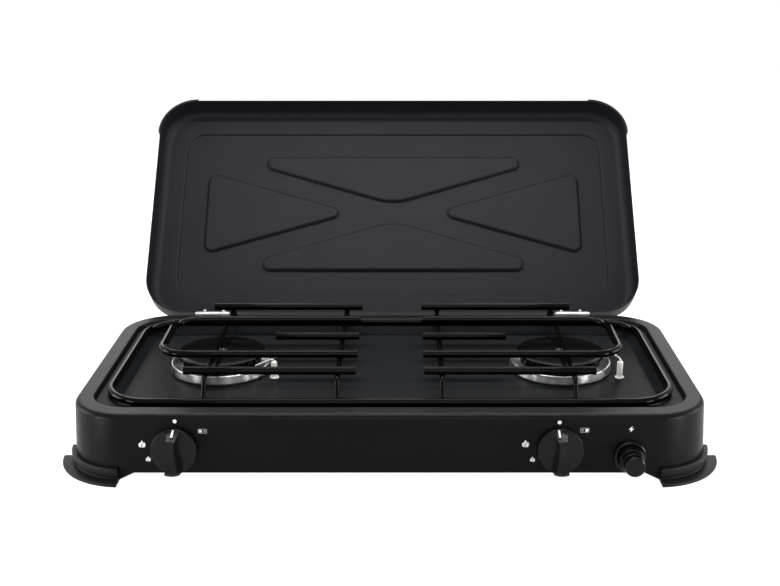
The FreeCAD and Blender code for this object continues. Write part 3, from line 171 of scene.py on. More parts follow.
def coverSurface(tree, output, look, share, height, settings, links):  # colour, relief and the shader
    colour = addNode(tree, "ShaderNodeMix", {"data_type": "RGBA", 6: linearColour(look["dark"]),
                                             7: linearColour(look["light"])}, {0: share})
    relief = addNode(tree, "ShaderNodeBump", {"Distance": look["depth"] * mm}, {"Height": height})
    shader = addNode(tree, "ShaderNodeBsdfPrincipled", settings,
                     {"Base Color": colour.outputs[2], "Normal": relief.outputs["Normal"], **links})
    tree.links.new(shader.outputs[0], output.inputs["Surface"])


def makeFinish(name, look):
    material, tree, output = startMaterial(name)
    place = addNode(tree, "ShaderNodeTexCoord").outputs["Object"]
    cloud, mottle, grain = (
        addNode(tree, "ShaderNodeTexNoise", {"Scale": 1 / (look[pattern] * mm), "Detail": detail},
                {"Vector": place}).outputs["Fac"]
        for pattern, detail in (("cloud", 3.0), ("mottle", 4.0), ("grain", 1.0)))
    low, high = look["rough"]
    rough = addNode(tree, "ShaderNodeMapRange", {"To Min": low, "To Max": high}, {"Value": mottle})
    coverSurface(tree, output, look, cloud, grain,
                 {"Metallic": look.get("metal", 0.0), "Specular IOR Level": look.get("specular", 0.5),
                  "Coat Weight": look.get("coat", 0.0)}, {"Roughness": rough.outputs["Result"]})
    return material


# Bright stainless steel spun on a former: rings round the burner, which stretch each highlight into a fan
# towards the middle, and light and dark fans painted into the metal's colour along them, a painted
# reflection of the bright and dark fans on the spun wall. The rings are drawn 8.8 mm apart, far
# coarser than the real tool marks.
spunSteel = {"dark": "#727372", "light": "#e6e7e5", "rough": 0.3, "anisotropy": 0.8, "grainTurn": 0.25,
             "ring": 8.8, "ringWander": 0.4, "depth": 0.006, "paintedReflectionFans": 2.6, "paintedFanDetail": 1.5,
             "paintedFanRoughness": 0.4, "contrast": (0.3, 0.7)}
ringRate = 20  # radians of wave in each metre of a ring texture at scale 1


def makeSpunSteel(name, look, centre):
    material, tree, output = startMaterial(name)
    place = addNode(tree, "ShaderNodeTexCoord").outputs["Object"]
    centred = addNode(tree, "ShaderNodeMapping", {"Location": -centre}, {"Vector": place}).outputs["Vector"]
    rings = addNode(tree, "ShaderNodeTexWave",
                    {"wave_type": "RINGS", "rings_direction": "Z", "Distortion": look["ringWander"],
                     "Scale": math.tau / ringRate / (look["ring"] * mm)}, {"Vector": centred})
    flat = addNode(tree, "ShaderNodeVectorMath", {"operation": "MULTIPLY", 1: (1, 1, 0)}, {0: centred})
    outward = addNode(tree, "ShaderNodeVectorMath", {"operation": "NORMALIZE"}, {0: flat.outputs["Vector"]})
    # painted reflection: light and dark fans in the colour, turning round the burner's axis
    paintedReflectionFans = addNode(tree, "ShaderNodeTexNoise",
                      {"Scale": look["paintedReflectionFans"], "Detail": look["paintedFanDetail"],
                       "Roughness": look["paintedFanRoughness"]}, {"Vector": outward.outputs["Vector"]})
    low, high = look["contrast"]
    shade = addNode(tree, "ShaderNodeMapRange", {"From Min": low, "From Max": high},
                    {"Value": paintedReflectionFans.outputs["Fac"]})
    coverSurface(tree, output, look, shade.outputs["Result"], rings.outputs["Fac"],
                 {"Metallic": 1.0, "Roughness": look["rough"], "Anisotropic": look["anisotropy"],
                  "Anisotropic Rotation": look["grainTurn"]}, {})
    return material


finishOf = {"housing_paint": "powderCoatShadedHousing", "tray_paint": "powderCoatShadedTray",
            "lid_paint": "powderCoatLitLid", "foot_rubber": "mouldedRubber", "guard_plastic": "mouldedNylon",
            "rod_enamel": "glossEnamel", "burner_enamel": "castEnamel", "zinc_steel": "zincPlatedSteel",
            "turned_brass": "turnedBrass", "tube_aluminium": "drawnAluminium",
            "glazed_ceramic": "glazedCeramic", "lead_silicone": "extrudedSilicone",
            "knob_plastic": "mouldedAbs"}
finishes = {name: makeFinish(name, look) for name, look in finishLooks.items()}
for name in ("left", "right"):
    low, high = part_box(f"{name}_burner_cup")
    finishes[f"{name}SpunSteel"] = makeSpunSteel(f"{name}SpunSteel", spunSteel, (low + high) / 2)
print("materials made")


# Floor, background and lamps

studio = {"floor": "#b4b4b4", "floorGlow": 0.92, "ambient": 0.2, "floorSize": 30000}
lamps = {
    "frontSoftbox": {"place": (0, -950, 520), "aim": (0, 0, 60), "size": (700, 250), "power": 3.0},
    "overheadSoftbox": {"place": (0, 20, 760), "aim": (0, 20, 60), "size": (650, 110), "power": 4.4},
    "rearStrip": {"place": (0, 1000, 1050), "aim": (0, 0, 60), "size": (1500, 110), "power": 12},
    "leftSoftbox": {"place": (-1280, 60, 330), "aim": (0, -60, 40), "size": (600, 600), "power": 9},
    "rightSoftbox": {"place": (1280, 60, 330), "aim": (0, -60, 40), "size": (600, 600), "power": 9},
    "leftCornerSoftbox": {"place": (-520, -330, 70), "aim": (-265, -205, 35), "size": (120, 120),
                          "power": 1.2},
    "rightCornerSoftbox": {"place": (520, -330, 70), "aim": (265, -205, 35), "size": (120, 120),
                           "power": 1.35},
    "leftRearSoftbox": {"place": (-620, 1250, 560), "aim": (-200, 0, 60), "size": (500, 400), "power": 1.5},
    "rightRearSoftbox": {"place": (620, 1250, 560), "aim": (200, 0, 60), "size": (500, 400), "power": 1.5},
}


def seenDirectly(tree):  # 1 where the camera or a shiny or clear surface looks, 0 for light on dull ones
    path = addNode(tree, "ShaderNodeLightPath")
    reflected = addNode(tree, "ShaderNodeMath", {"operation": "MAXIMUM"},
                        {0: path.outputs["Is Glossy Ray"], 1: path.outputs["Is Transmission Ray"]})
    return addNode(tree, "ShaderNodeMath", {"operation": "MAXIMUM"},
                   {0: path.outputs["Is Camera Ray"], 1: reflected.outputs[0]}).outputs[0]


def makeWorld(setup):
    world = bpy.context.scene.world or bpy.data.worlds.new("studio")
    bpy.context.scene.world = world
    world.use_nodes = True
    tree = world.node_tree
    tree.nodes.clear()
    output = addNode(tree, "ShaderNodeOutputWorld")
    white = linearColour("#ffffff")
    around = addNode(tree, "ShaderNodeBackground", {"Color": white, "Strength": setup["ambient"]})
    seen = addNode(tree, "ShaderNodeBackground", {"Color": white, "Strength": 1.0})
    mix = addNode(tree, "ShaderNodeMixShader", {},
                  {0: seenDirectly(tree), 1: around.outputs[0], 2: seen.outputs[0]})
    tree.links.new(mix.outputs[0], output.inputs["Surface"])


def makeFloor(setup):
    bpy.ops.object.select_all(action="DESELECT")
    bpy.ops.mesh.primitive_plane_add(size=setup["floorSize"] * mm)
    floor = bpy.context.object
    floor.name = "floor"
    material, tree, output = startMaterial("paleFloor")
    diffuse = addNode(tree, "ShaderNodeBsdfDiffuse", {"Color": linearColour(setup["floor"])})
    strength = addNode(tree, "ShaderNodeMath", {"operation": "MULTIPLY", 1: setup["floorGlow"]},
                       {0: seenDirectly(tree)})
    glow = addNode(tree, "ShaderNodeEmission", {"Color": linearColour("#ffffff")},
                   {"Strength": strength.outputs[0]})
    both = addNode(tree, "ShaderNodeAddShader", {}, {0: diffuse.outputs[0], 1: glow.outputs[0]})
    tree.links.new(both.outputs[0], output.inputs["Surface"])
    floor.data.materials.append(material)


def makeLamp(name, lamp):
    place, aim = (Vector((x, y + baseY, z)) * mm for x, y, z in (lamp["place"], lamp["aim"]))
    bpy.ops.object.light_add(type="AREA", location=place,
                             rotation=(aim - place).to_track_quat("-Z", "Y").to_euler())
    light = bpy.context.object
    light.name = name
    light.data.shape = "RECTANGLE"
    light.data.size, light.data.size_y = (length * mm for length in lamp["size"])
    light.data.energy = lamp["power"]


makeWorld(studio)
makeFloor(studio)
for name, lamp in lamps.items():
    makeLamp(name, lamp)
bpy.context.scene.view_settings.view_transform = "Standard"
print("studio lit")


# Modelling helpers

def objectMode():
    if bpy.context.object and bpy.context.object.mode != "OBJECT":
        bpy.ops.object.mode_set(mode="OBJECT")
    bpy.ops.object.select_all(action="DESELECT")


def choose(piece):  # selects one piece, out of edit mode
    objectMode()
    piece.select_set(True)
    bpy.context.view_layer.objects.active = piece


def editing(piece):
    choose(piece)
    bpy.ops.object.mode_set(mode="EDIT")
    bpy.ops.mesh.select_mode(type="VERT")
    bpy.ops.mesh.select_all(action="SELECT")


def pick(kind, test):  # selects the vertices, edges or faces that pass a test
    mesh = bmesh.from_edit_mesh(bpy.context.object.data)
    bpy.ops.mesh.select_all(action="DESELECT")
    bpy.ops.mesh.select_mode(type=kind)
    elements = {"VERT": mesh.verts, "EDGE": mesh.edges, "FACE": mesh.faces}[kind]
    for element in elements:
        if test(element):
            element.select_set(True)
    mesh.select_flush_mode()
    bmesh.update_edit_mesh(bpy.context.object.data)


def outwards(piece):
    editing(piece)
    bpy.ops.mesh.normals_make_consistent(inside=False)
    objectMode()


def addLine(name, points, filled=False):  # a ring of edges through the points, filled or open
    objectMode()
    bpy.ops.mesh.primitive_circle_add(vertices=len(points), radius=mm,
                                      fill_type="NGON" if filled else "NOTHING")
    piece = bpy.context.object
    piece.name = name
    editing(piece)
    mesh = bmesh.from_edit_mesh(piece.data)
    for vertex, point in zip(list(mesh.verts), points):
        vertex.co = Vector(point) * mm
    bmesh.update_edit_mesh(piece.data)
    return piece


def roundBend(before, here, after, radius, segments):  # rounds one corner of a line with an arc
    back, ahead = Vector(before) - Vector(here), Vector(after) - Vector(here)
    half = back.angle(ahead) / 2
    spot, sine = Vector(here) * mm, math.sin(half)
    pick("VERT", lambda v: (v.co - spot).length < samePlace)
    bpy.ops.mesh.bevel(offset=radius / math.tan(half) * mm, segments=segments, affect="VERTICES",
                       profile=((1 + 2 * sine) / (2 + 2 * sine)) ** 2, clamp_overlap=False)


def addOutline(name, corners, z, segments=8):  # a flat plate from (x, y, radius) corners, counter-clockwise
    points = [(x, y + baseY, z) for x, y, radius in corners]
    piece = addLine(name, points, filled=True)
    for i, corner in enumerate(corners):
        if corner[2]:
            roundBend(points[i - 1], points[i], points[(i + 1) % len(points)], corner[2], segments)
    pick("FACE", lambda f: True)
    bpy.ops.mesh.normals_make_consistent(inside=False)
    if bmesh.from_edit_mesh(piece.data).faces[:][0].normal.z < 0:
        bpy.ops.mesh.flip_normals()
    return piece


def rectangle(halfX, front, rear, radius, grow=0.0):
    x, y0, y1, r = halfX + grow, front - grow, rear + grow, radius + grow
    return [(x, y0, r), (x, y1, r), (-x, y1, r), (-x, y0, r)]


def roundCorners(corners, steps=4):  # points along a line of (across, along, radius) corners
    points = []
    for i, (u, v, radius) in enumerate(corners):
        here = Vector((u, v))
        if not radius or i in (0, len(corners) - 1):
            points.append(here)
            continue
        back = (Vector(corners[i - 1][:2]) - here).normalized()
        ahead = (Vector(corners[i + 1][:2]) - here).normalized()
        half = back.angle(ahead) / 2
        centre = here + (back + ahead).normalized() * radius / math.sin(half)
        start = here + back * radius / math.tan(half) - centre
        end = here + ahead * radius / math.tan(half) - centre
        sweep = start.angle_signed(end)
        points += [centre + Matrix.Rotation(-sweep * k / steps, 2) @ start for k in range(steps + 1)]
    return points


leastInset = 1e-4  # an inset needs some width to raise a wall


def pressRings(profile):  # draws the selected face along (inwards, height) points, as a press draws sheet
    for before, after in zip(profile, profile[1:]):
        bpy.ops.mesh.inset(thickness=max(after[0] - before[0], leastInset) * mm,
                           depth=(after[1] - before[1]) * mm)


def joinPieces(pieces):
    if len(pieces) == 1:
        return pieces[0]
    objectMode()
    for piece in pieces:
        piece.select_set(True)
    bpy.context.view_layer.objects.active = pieces[0]
    bpy.ops.object.join()
    return pieces[0]


def fillBetween(piece, z):  # fills the flat sheet at one height between the open lines that lie there
    editing(piece)
    pick("EDGE", lambda e: len(e.link_faces) < 2 and all(abs(v.co.z - z * mm) < samePlace for v in e.verts))
    bpy.ops.mesh.fill(use_beauty=True)
    outwards(piece)


def addModifier(piece, kind, settings):
    modifier = piece.modifiers.new(kind.title(), kind)
    for name, value in settings.items():
        setattr(modifier, name, value)
    choose(piece)
    bpy.ops.object.modifier_apply(modifier=modifier.name)


def thicken(piece, sheet):
    addModifier(piece, "SOLIDIFY", {"thickness": sheet * mm, "offset": -1.0, "use_even_offset": True})


def roundEdges(piece, width, segments=2, angle=sharpAngle):
    addModifier(piece, "BEVEL", {"width": width * mm, "segments": segments, "limit_method": "ANGLE",
                                 "angle_limit": math.radians(angle), "miter_outer": "MITER_ARC"})


def combine(piece, other, operation="DIFFERENCE"):
    addModifier(piece, "BOOLEAN", {"operation": operation, "object": other, "solver": "EXACT"})
    bpy.data.objects.remove(other)


def placePiece(piece, matrix):
    choose(piece)
    piece.matrix_world = matrix @ piece.matrix_world
    bpy.ops.object.transform_apply(location=True, rotation=True, scale=True)
    if matrix.determinant() < 0:
        outwards(piece)
    return piece


def copyPiece(piece, name, matrix):
    twin = piece.copy()
    twin.data = piece.data.copy()
    twin.name = name
    bpy.context.collection.objects.link(twin)
    return placePiece(twin, matrix)


def shifted(x, y, z):
    return Matrix.Translation(Vector((x, y + baseY, z)) * mm)


def mirror(axis):
    return Matrix.Scale(-1, 4, Vector([float(axis == i) for i in "XYZ"]))


def addBlock(name, low, high):
    objectMode()
    bpy.ops.mesh.primitive_cube_add(size=1)
    piece = bpy.context.object
    piece.name = name
    low, high = Vector(low) * mm, Vector(high) * mm
    return placePiece(piece, Matrix.Translation((low + high) / 2) @ Matrix.Diagonal((high - low).to_4d()))


def addDrum(name, radius, start, end, vertices):
    objectMode()
    start, end = Vector(start) * mm, Vector(end) * mm
    bpy.ops.mesh.primitive_cylinder_add(vertices=vertices, radius=radius * mm, depth=(end - start).length)
    piece = bpy.context.object
    piece.name = name
    turn = (end - start).to_track_quat("Z", "Y").to_matrix().to_4x4()
    return placePiece(piece, Matrix.Translation((start + end) / 2) @ turn)


def turnPiece(name, corners, steps, fine, angle=360.0, closed=False):  # spins (radius, height, rounding)
    profile = roundCorners(corners, fine)
    if closed:
        profile.append(profile[0])
    objectMode()
    bpy.ops.mesh.primitive_plane_add(size=mm)
    piece = bpy.context.object
    piece.name = name
    editing(piece)
    bpy.ops.mesh.merge(type="CENTER")
    bpy.ops.transform.translate(value=(profile[0].x * mm, 0, profile[0].y * mm))
    for before, after in zip(profile, profile[1:]):
        bpy.ops.mesh.extrude_region_move(
            TRANSFORM_OT_translate={"value": ((after.x - before.x) * mm, 0, (after.y - before.y) * mm)})
    bpy.ops.mesh.select_all(action="SELECT")
    bpy.ops.mesh.spin(steps=steps, angle=math.radians(-angle), center=(0, 0, 0), axis=(0, 0, 1))
    bpy.ops.mesh.select_all(action="SELECT")
    bpy.ops.mesh.remove_doubles(threshold=samePlace)
    outwards(piece)
    return piece


rodMesh = {"bendSegments": 10, "roundness": 5, "endSegments": 3, "endAngle": 60}


def bendRod(name, points, bends, radius, closed=False, endRounding=0.0):  # a rod along points, bent at each
    points = [(x, y + baseY, z) for x, y, z in points]
    piece = addLine(name, points)
    if not closed:
        pick("EDGE", lambda e: {v.index for v in e.verts} == {0, len(points) - 1})
        bpy.ops.mesh.delete(type="EDGE")
    for i in range(0 if closed else 1, len(points) if closed else len(points) - 1):
        bend = bends[i - 1] if isinstance(bends, tuple) else bends
        if bend:
            roundBend(points[i - 1], points[i], points[(i + 1) % len(points)], bend, rodMesh["bendSegments"])
    choose(piece)
    bpy.ops.object.convert(target="CURVE")
    curve = bpy.context.object.data
    curve.bevel_depth, curve.bevel_resolution, curve.use_fill_caps = radius * mm, rodMesh["roundness"], True
    bpy.ops.object.convert(target="MESH")
    piece = bpy.context.object
    editing(piece)
    bpy.ops.mesh.remove_doubles(threshold=samePlace)
    outwards(piece)
    if endRounding:
        roundEdges(piece, endRounding, rodMesh["endSegments"], rodMesh["endAngle"])
    return piece


def finishPiece(piece, body, nodes, finish=None):  # takes its slot, and mostly its finish, from the nodes
    choose(piece)
    slot = slotOf[nodes[0]]
    piece.data.name = piece.name
    piece.data.materials.clear()
    piece.data.materials.append(finishes[finish or finishOf[slot]])
    bpy.ops.object.shade_smooth_by_angle(angle=math.radians(sharpAngle))
    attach(piece, body)
    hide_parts(*nodes)


# Base housing, pressed from sheet, with long notches cut between its corner legs

housing = {"halfX": 267.0, "halfY": 132.0, "top": 58.0, "low": 2.0, "corner": 47.0, "flare": 3.0,
           "rounding": 4.5, "sheet": 1.0, "run": 2.0, "opening": (252.0, -113.4, 116.0, 30.0),
           "openingRounding": 1.5, "openingLean": 20.0, "flangeTop": 53.2, "flange": 7.0,
           "flangeRounding": 1.0, "skirt": 8.0, "notches": (211.0, 76.5), "notchSlope": 12.3,
           "cutterReach": 20.0, "cutterBelow": 4.0, "edge": 0.25}
flareSlope = math.tan(math.radians(housing["flare"]))


def wallY(z):
    return housing["halfY"] + (housing["top"] - z) * flareSlope


def onFront(x, z):  # the frame of the front panel at a point: X right, Y up the panel, Z out of it
    return shifted(x, -wallY(z), z) @ Matrix.Rotation(math.radians(90 - housing["flare"]), 4, "X")


def makeHousing(size):  # wall and opening are drawn apart, each to a run of flat sheet past its rounding
    height, top, rounding, flange = size["top"] - size["low"], size["top"], size["rounding"], size["flange"]
    grow = height * flareSlope
    foot = rectangle(size["halfX"], -size["halfY"], size["halfY"], size["corner"], grow)
    outer = addOutline("housingShell", foot, size["low"], segments=14)
    pressRings(roundCorners([(0, 0, 0), (grow, height, rounding),
                             (grow + rounding + size["run"], height, 0)], steps=6))
    bpy.ops.mesh.delete(type="FACE")
    lip = size["openingRounding"] + size["run"]
    drop = top - size["flangeTop"]
    seat = lip + drop * math.tan(math.radians(size["openingLean"]))
    opening = addOutline("openingWall", rectangle(*size["opening"], lip), top, segments=12)
    pressRings(roundCorners([(0, 0, 0), (lip, 0, size["openingRounding"]),
                             (seat, -drop, size["flangeRounding"]), (seat + flange, -drop, 0)]))
    bpy.ops.mesh.delete(type="FACE")
    shell = joinPieces([outer, opening])
    fillBetween(shell, top)
    thicken(shell, size["sheet"])
    return shell


def cutNotches(shell, size):
    drop = size["skirt"] - size["low"]
    tall, middle = drop + size["cutterBelow"], size["low"] + drop / 2
    for i, half in enumerate(size["notches"]):
        spread = [size["halfX"] + size["cutterReach"], size["halfY"] + size["cutterReach"]]
        spread[i] = half
        cutter = addBlock("notchCutter", (-spread[0], baseY - spread[1], size["low"] - size["cutterBelow"]),
                          (spread[0], baseY + spread[1], size["skirt"]))
        editing(cutter)
        pick("VERT", lambda v: v.co.z < middle * mm)
        stretch = [1.0, 1.0, 1.0]
        stretch[i] = (half + size["notchSlope"] * tall / drop) / half
        bpy.ops.transform.resize(value=stretch, center_override=(0, baseY * mm, 0))
        combine(shell, cutter)
    roundEdges(shell, size["edge"], segments=1, angle=50)


housingShell = makeHousing(housing)
cutNotches(housingShell, housing)
finishPiece(housingShell, "base", ["base_housing"])
print("housing pressed")


# Hob tray, with the openings for the burners and electrodes

tray = {"edge": (250.05, -111.45, 114.05, 28.05), "top": 54.0, "well": (239.5, -100.0, 106.0, 20.0),
        "depth": 6.5, "rounding": 2.0, "run": 1.0, "floorRun": 3.0, "sheet": 0.8}
burner = {"x": 156.5, "y": 5.5, "floor": 47.5, "hole": 10.1, "electrode": (51.0, -25.5),
          "electrodeHole": 2.8}


def makeTray(size):
    depth, rounding = size["depth"], size["rounding"]
    floor, lip = size["top"] - depth, rounding + size["run"]
    rim = addOutline("hobTray", rectangle(*size["edge"]), size["top"], segments=12)
    bpy.ops.mesh.delete(type="ONLY_FACE")
    well = addOutline("trayWell", rectangle(*size["well"], lip), size["top"], segments=12)
    pressRings(roundCorners([(0, 0, 0), (lip, 0, rounding), (lip + depth, -depth, rounding),
                             (lip + depth + size["floorRun"], -depth, 0)]))
    bpy.ops.mesh.delete(type="FACE")
    objectMode()
    holes = []
    for side in (-1, 1):
        x, y = side * burner["x"], burner["y"]
        alongX, alongY = burner["electrode"]
        for radius, place in ((burner["hole"], (x, y + baseY, floor)),
                              (burner["electrodeHole"], (x + alongX, y + alongY + baseY, floor))):
            bpy.ops.mesh.primitive_circle_add(vertices=32, radius=radius * mm, location=Vector(place) * mm)
            holes.append(placePiece(bpy.context.object, Matrix.Identity(4)))
    pan = joinPieces([rim, well] + holes)
    fillBetween(pan, size["top"])
    fillBetween(pan, floor)
    thicken(pan, size["sheet"])
    return pan


finishPiece(makeTray(tray), "base", ["hob_tray"])
print("hob tray pressed")


# Lid, pressed closed and then swung open about the hinges

lid = {"outline": (257.0, -124.0, 132.0, 39.5), "low": 58.5, "depth": 27.0, "rounding": 9.0, "run": 2.0,
       "sheet": 0.8, "step": (230.5, -96.5, 101.0, 20.0), "stepHeight": 2.0, "stepSlope": 0.7,
       "stepRounding": 1.1, "stepRun": 0.3, "fieldSlope": 1.6, "fieldDepth": 4.2, "fieldRounding": 1.4,
       "fieldCentre": 3.0, "open": 131.0, "hinge": (134.5, 57.5)}
wideField = [(-139.0, 69.0, 7.0), (-139.0, 55.8, 7.0), (0.0, 11.2, 60.0), (139.0, 55.8, 7.0),
             (139.0, 69.0, 7.0)]
sideField = [(203.0, 49.0, 8.0), (46.0, 0.0, 6.0), (203.0, -49.0, 8.0)]


def grown(corners, amount):  # the same convex outline, larger all round
    result = []
    for i, (x, y, radius) in enumerate(corners):
        here = Vector((x, y))
        before = (here - Vector(corners[i - 1][:2])).normalized()
        after = (Vector(corners[(i + 1) % len(corners)][:2]) - here).normalized()
        place = here + (before - after).normalized() * amount / math.cos(before.angle(after) / 2)
        result.append((place.x, place.y, radius + amount))
    return result


def pressStep(slope, height, rounding, run):  # the S line that a press leaves between two levels of sheet
    lead = rounding * math.tan(math.atan2(abs(height), slope) / 2) + run
    line = roundCorners([(0, 0, 0), (lead, 0, rounding), (lead + slope, height, rounding),
                         (2 * lead + slope, height, 0)])
    return line, lead + slope / 2


def makeField(corners, size, flip):
    top = size["low"] + size["depth"] + size["stepHeight"]
    line, out = pressStep(size["fieldSlope"], -size["fieldDepth"], size["fieldRounding"], size["stepRun"])
    corners = [(x * flip[0], y * flip[1], radius) for x, y, radius in grown(corners, out)]
    if flip != (1, 1):
        corners = corners[::-1]
    field = addOutline("lidField", [(x, y + size["fieldCentre"], radius) for x, y, radius in corners], top)
    pressRings(line)
    return field


def makeLid(size):
    depth, rounding = size["depth"], size["rounding"]
    pan = addOutline("lidPanel", rectangle(*size["outline"]), size["low"], segments=14)
    pressRings(roundCorners([(0, 0, 0), (0, depth, rounding), (rounding + size["run"], depth, 0)], steps=8))
    bpy.ops.mesh.delete(type="FACE")
    line, out = pressStep(size["stepSlope"], size["stepHeight"], size["stepRounding"], size["stepRun"])
    level = size["low"] + depth
    step = addOutline("lidStep", rectangle(*size["step"], out), level, segments=12)
    pressRings(line)
    bpy.ops.mesh.delete(type="FACE")
    fields = [makeField(corners, size, flip) for corners, flip in
              ((wideField, (1, 1)), (wideField, (1, -1)), (sideField, (1, 1)), (sideField, (-1, 1)))]
    panel = joinPieces([pan, step] + fields)
    fillBetween(panel, level)
    fillBetween(panel, level + size["stepHeight"])
    thicken(panel, size["sheet"])
    return panel


def opened(piece):
    y, z = lid["hinge"]
    return placePiece(piece, shifted(0, y, z) @ Matrix.Rotation(math.radians(-lid["open"]), 4, "X")
                      @ shifted(0, y, z).inverted())


finishPiece(opened(makeLid(lid)), "lid", ["lid_panel"])
print("lid pressed")


# Corner guards of the lid, moulded

guard = {"inner": 39.5, "thickness": 2.0, "low": 0.05, "height": 14.0, "rounding": 0.7}


def makeGuard(name, side, size):
    inner, outer, low, high = size["inner"], size["inner"] + size["thickness"], size["low"], size["height"]
    band = turnPiece(name, [(inner, low, 0), (outer, low, size["rounding"]), (outer, high, size["rounding"]),
                            (inner, high, 0)], steps=24, fine=4, angle=90, closed=True)
    editing(band)
    pick("EDGE", lambda e: len(e.link_faces) < 2)
    bpy.ops.mesh.edge_face_add()
    outwards(band)
    halfX, front = lid["outline"][:2]
    place = shifted(side * (halfX - inner), front + inner, lid["low"]) @ mirror("Y")
    return opened(placePiece(band, place @ mirror("X") if side < 0 else place))


for name, side in sides:
    finishPiece(makeGuard(f"{name}CornerGuard", side, guard), "lid", [f"lid_{name}_corner_guard"])
print("corner guards moulded")


# Rubber feet, moulded round the corner legs

foot = {"inner": 42.0, "innerTop": 16.0, "reach": 61.6, "flange": 3.0, "grooveTop": 5.0, "groove": 51.86,
        "lip": 53.36, "lipTop": 13.0, "wall": 49.36, "legLow": 2.0, "legOuter": 49.93, "sheet": 1.0,
        "endGap": 4.0, "rounding": 1.2, "grooveRounding": 0.5, "lipRounding": 1.0, "topRounding": 0.8,
        "edge": 0.5}


def makeFoot(size):
    inner, innerTop, wall, legOuter, legLow = (size[key] for key in
                                               ("inner", "innerTop", "wall", "legOuter", "legLow"))
    corners = [(inner, 0, 0), (size["reach"], 0, size["rounding"]),
               (size["reach"], size["flange"], size["rounding"]),
               (size["groove"], size["flange"], size["grooveRounding"]),
               (size["groove"], size["grooveTop"], size["grooveRounding"]),
               (size["lip"], size["grooveTop"], size["lipRounding"]),
               (size["lip"], size["lipTop"], size["rounding"]), (wall, size["lipTop"], 0),
               (legOuter, legLow, 0), (legOuter - size["sheet"], legLow, 0),
               (wall - size["sheet"], innerTop, size["topRounding"]), (inner, innerTop, 0)]
    piece = turnPiece("footForm", corners, steps=36, fine=4, angle=90, closed=True)
    for axis in ((1, 0, 0), (0, 1, 0)):
        editing(piece)
        bpy.ops.mesh.bisect(plane_co=Vector(axis) * size["endGap"] * mm, plane_no=axis, use_fill=True,
                            clear_inner=True)
    outwards(piece)
    roundEdges(piece, size["edge"], angle=60)
    return piece


footForm = makeFoot(foot)
cornerX, cornerY = housing["halfX"] - housing["corner"], housing["halfY"] - housing["corner"]
for nameY, sideY in (("front", -1), ("rear", 1)):
    for nameX, sideX in sides:
        place = shifted(sideX * cornerX, sideY * cornerY, 0) @ Matrix.Diagonal((sideX, sideY, 1, 1))
        twin = copyPiece(footForm, f"{nameY}{nameX.title()}Foot", place)
        finishPiece(twin, "base", [f"{nameY}_{nameX}_foot"])
bpy.data.objects.remove(footForm)
print("feet moulded")


# Burners: spun cup, cast head with its ring of ports, domed cap and screw

cup = {"neck": 10.1, "foot": 47.0, "rim": 45.5, "height": 8.6, "sheet": 0.8, "bead": 0.9, "corner": 1.6}
head = {"neck": 9.9, "bore": 8.1, "low": -7.3, "seat": 0.8, "flange": 14.0, "flangeRise": 2.0,
        "bowl": 36.5, "bowlLow": 5.6, "bowlRounding": 2.0, "top": 14.1, "wall": 3.0, "rounding": 1.0,
        "edge": 0.3, "ports": 24, "facets": 4, "portLow": 8.6, "portHigh": 12.6, "portDepth": 2.6}
cap = {"radius": 40.0, "thickness": 3.0, "dome": 1.4, "bow": (34.0, 28.0, 22.0, 16.0, 10.0), "edge": 0.5,
       "rounding": 0.8, "recess": 5.3, "recessRim": 0.6, "recessDrop": 0.1, "recessRounding": 0.3,
       "hole": 2.3}
capScrew = {"head": 5.0, "height": 2.4, "edge": 0.15, "bow": (0.98, 0.9, 0.75, 0.55, 0.3), "shank": 2.0,
            "length": 8.0, "chamfer": 0.5, "slot": 0.9, "slotReach": 3.1, "slotDepth": 1.08}


def atBurner(piece, name, side):
    return copyPiece(piece, name, shifted(side * burner["x"], burner["y"], burner["floor"]))


def makeCup(size):  # the top edge of the wall is rolled into a round bead
    rim, sheet, bead, neck, corner = (size[key] for key in ("rim", "sheet", "bead", "neck", "corner"))
    middle, level = rim - sheet / 2, size["height"] - bead
    wallTop, beadLow, beadHigh, curl = level - bead * 0.5, level - bead * 0.2, level + bead, bead * 0.95
    corners = [(neck, 0, 0), (size["foot"], 0, corner), (rim, wallTop, 0.4),
               (middle + bead, beadLow, 0.3), (middle + bead, beadHigh, curl),
               (middle - bead, beadHigh, curl), (middle - bead, beadLow, 0.3),
               (rim - sheet, wallTop, 0.4), (size["foot"] - sheet, sheet, corner - sheet), (neck, sheet, 0)]
    return turnPiece("cupForm", corners, steps=128, fine=5, closed=True)


def makeHead(size):
    bowl, neck, bore, seat, wall, flange = (size[key] for key in
                                            ("bowl", "neck", "bore", "seat", "wall", "flange"))
    inner, floor, rounding = bowl - wall, seat + size["flangeRise"], size["rounding"]
    corners = [(bore, size["low"], 0), (neck, size["low"], 0), (neck, seat, 0), (flange, seat, 0),
               (flange, floor, rounding), (bowl, size["bowlLow"], size["bowlRounding"]),
               (bowl, size["portLow"], 0), (bowl, size["portHigh"], 0), (bowl, size["top"], size["edge"]),
               (inner, size["top"], size["edge"]), (inner, size["bowlLow"] + wall, rounding),
               (bore, floor + wall, rounding)]
    piece = turnPiece("headForm", corners, steps=size["ports"] * size["facets"], fine=3, closed=True)
    editing(piece)
    low, high, turn = size["portLow"] * mm, size["portHigh"] * mm, size["ports"] / (2 * math.pi)

    def isPort(face):  # the first facet of each port's share of the ring, on the outside of the bowl
        centre = face.calc_center_median()
        share = (math.atan2(centre.y, centre.x) * turn) % 1
        return (face.normal.to_2d().length > 0.9 and centre.to_2d().length > (inner + bowl) / 2 * mm
                and low < centre.z < high and share < 1 / size["facets"])

    pick("FACE", isPort)
    bpy.ops.mesh.extrude_region_shrink_fatten(TRANSFORM_OT_shrink_fatten={"value": -size["portDepth"] * mm})
    objectMode()
    return piece


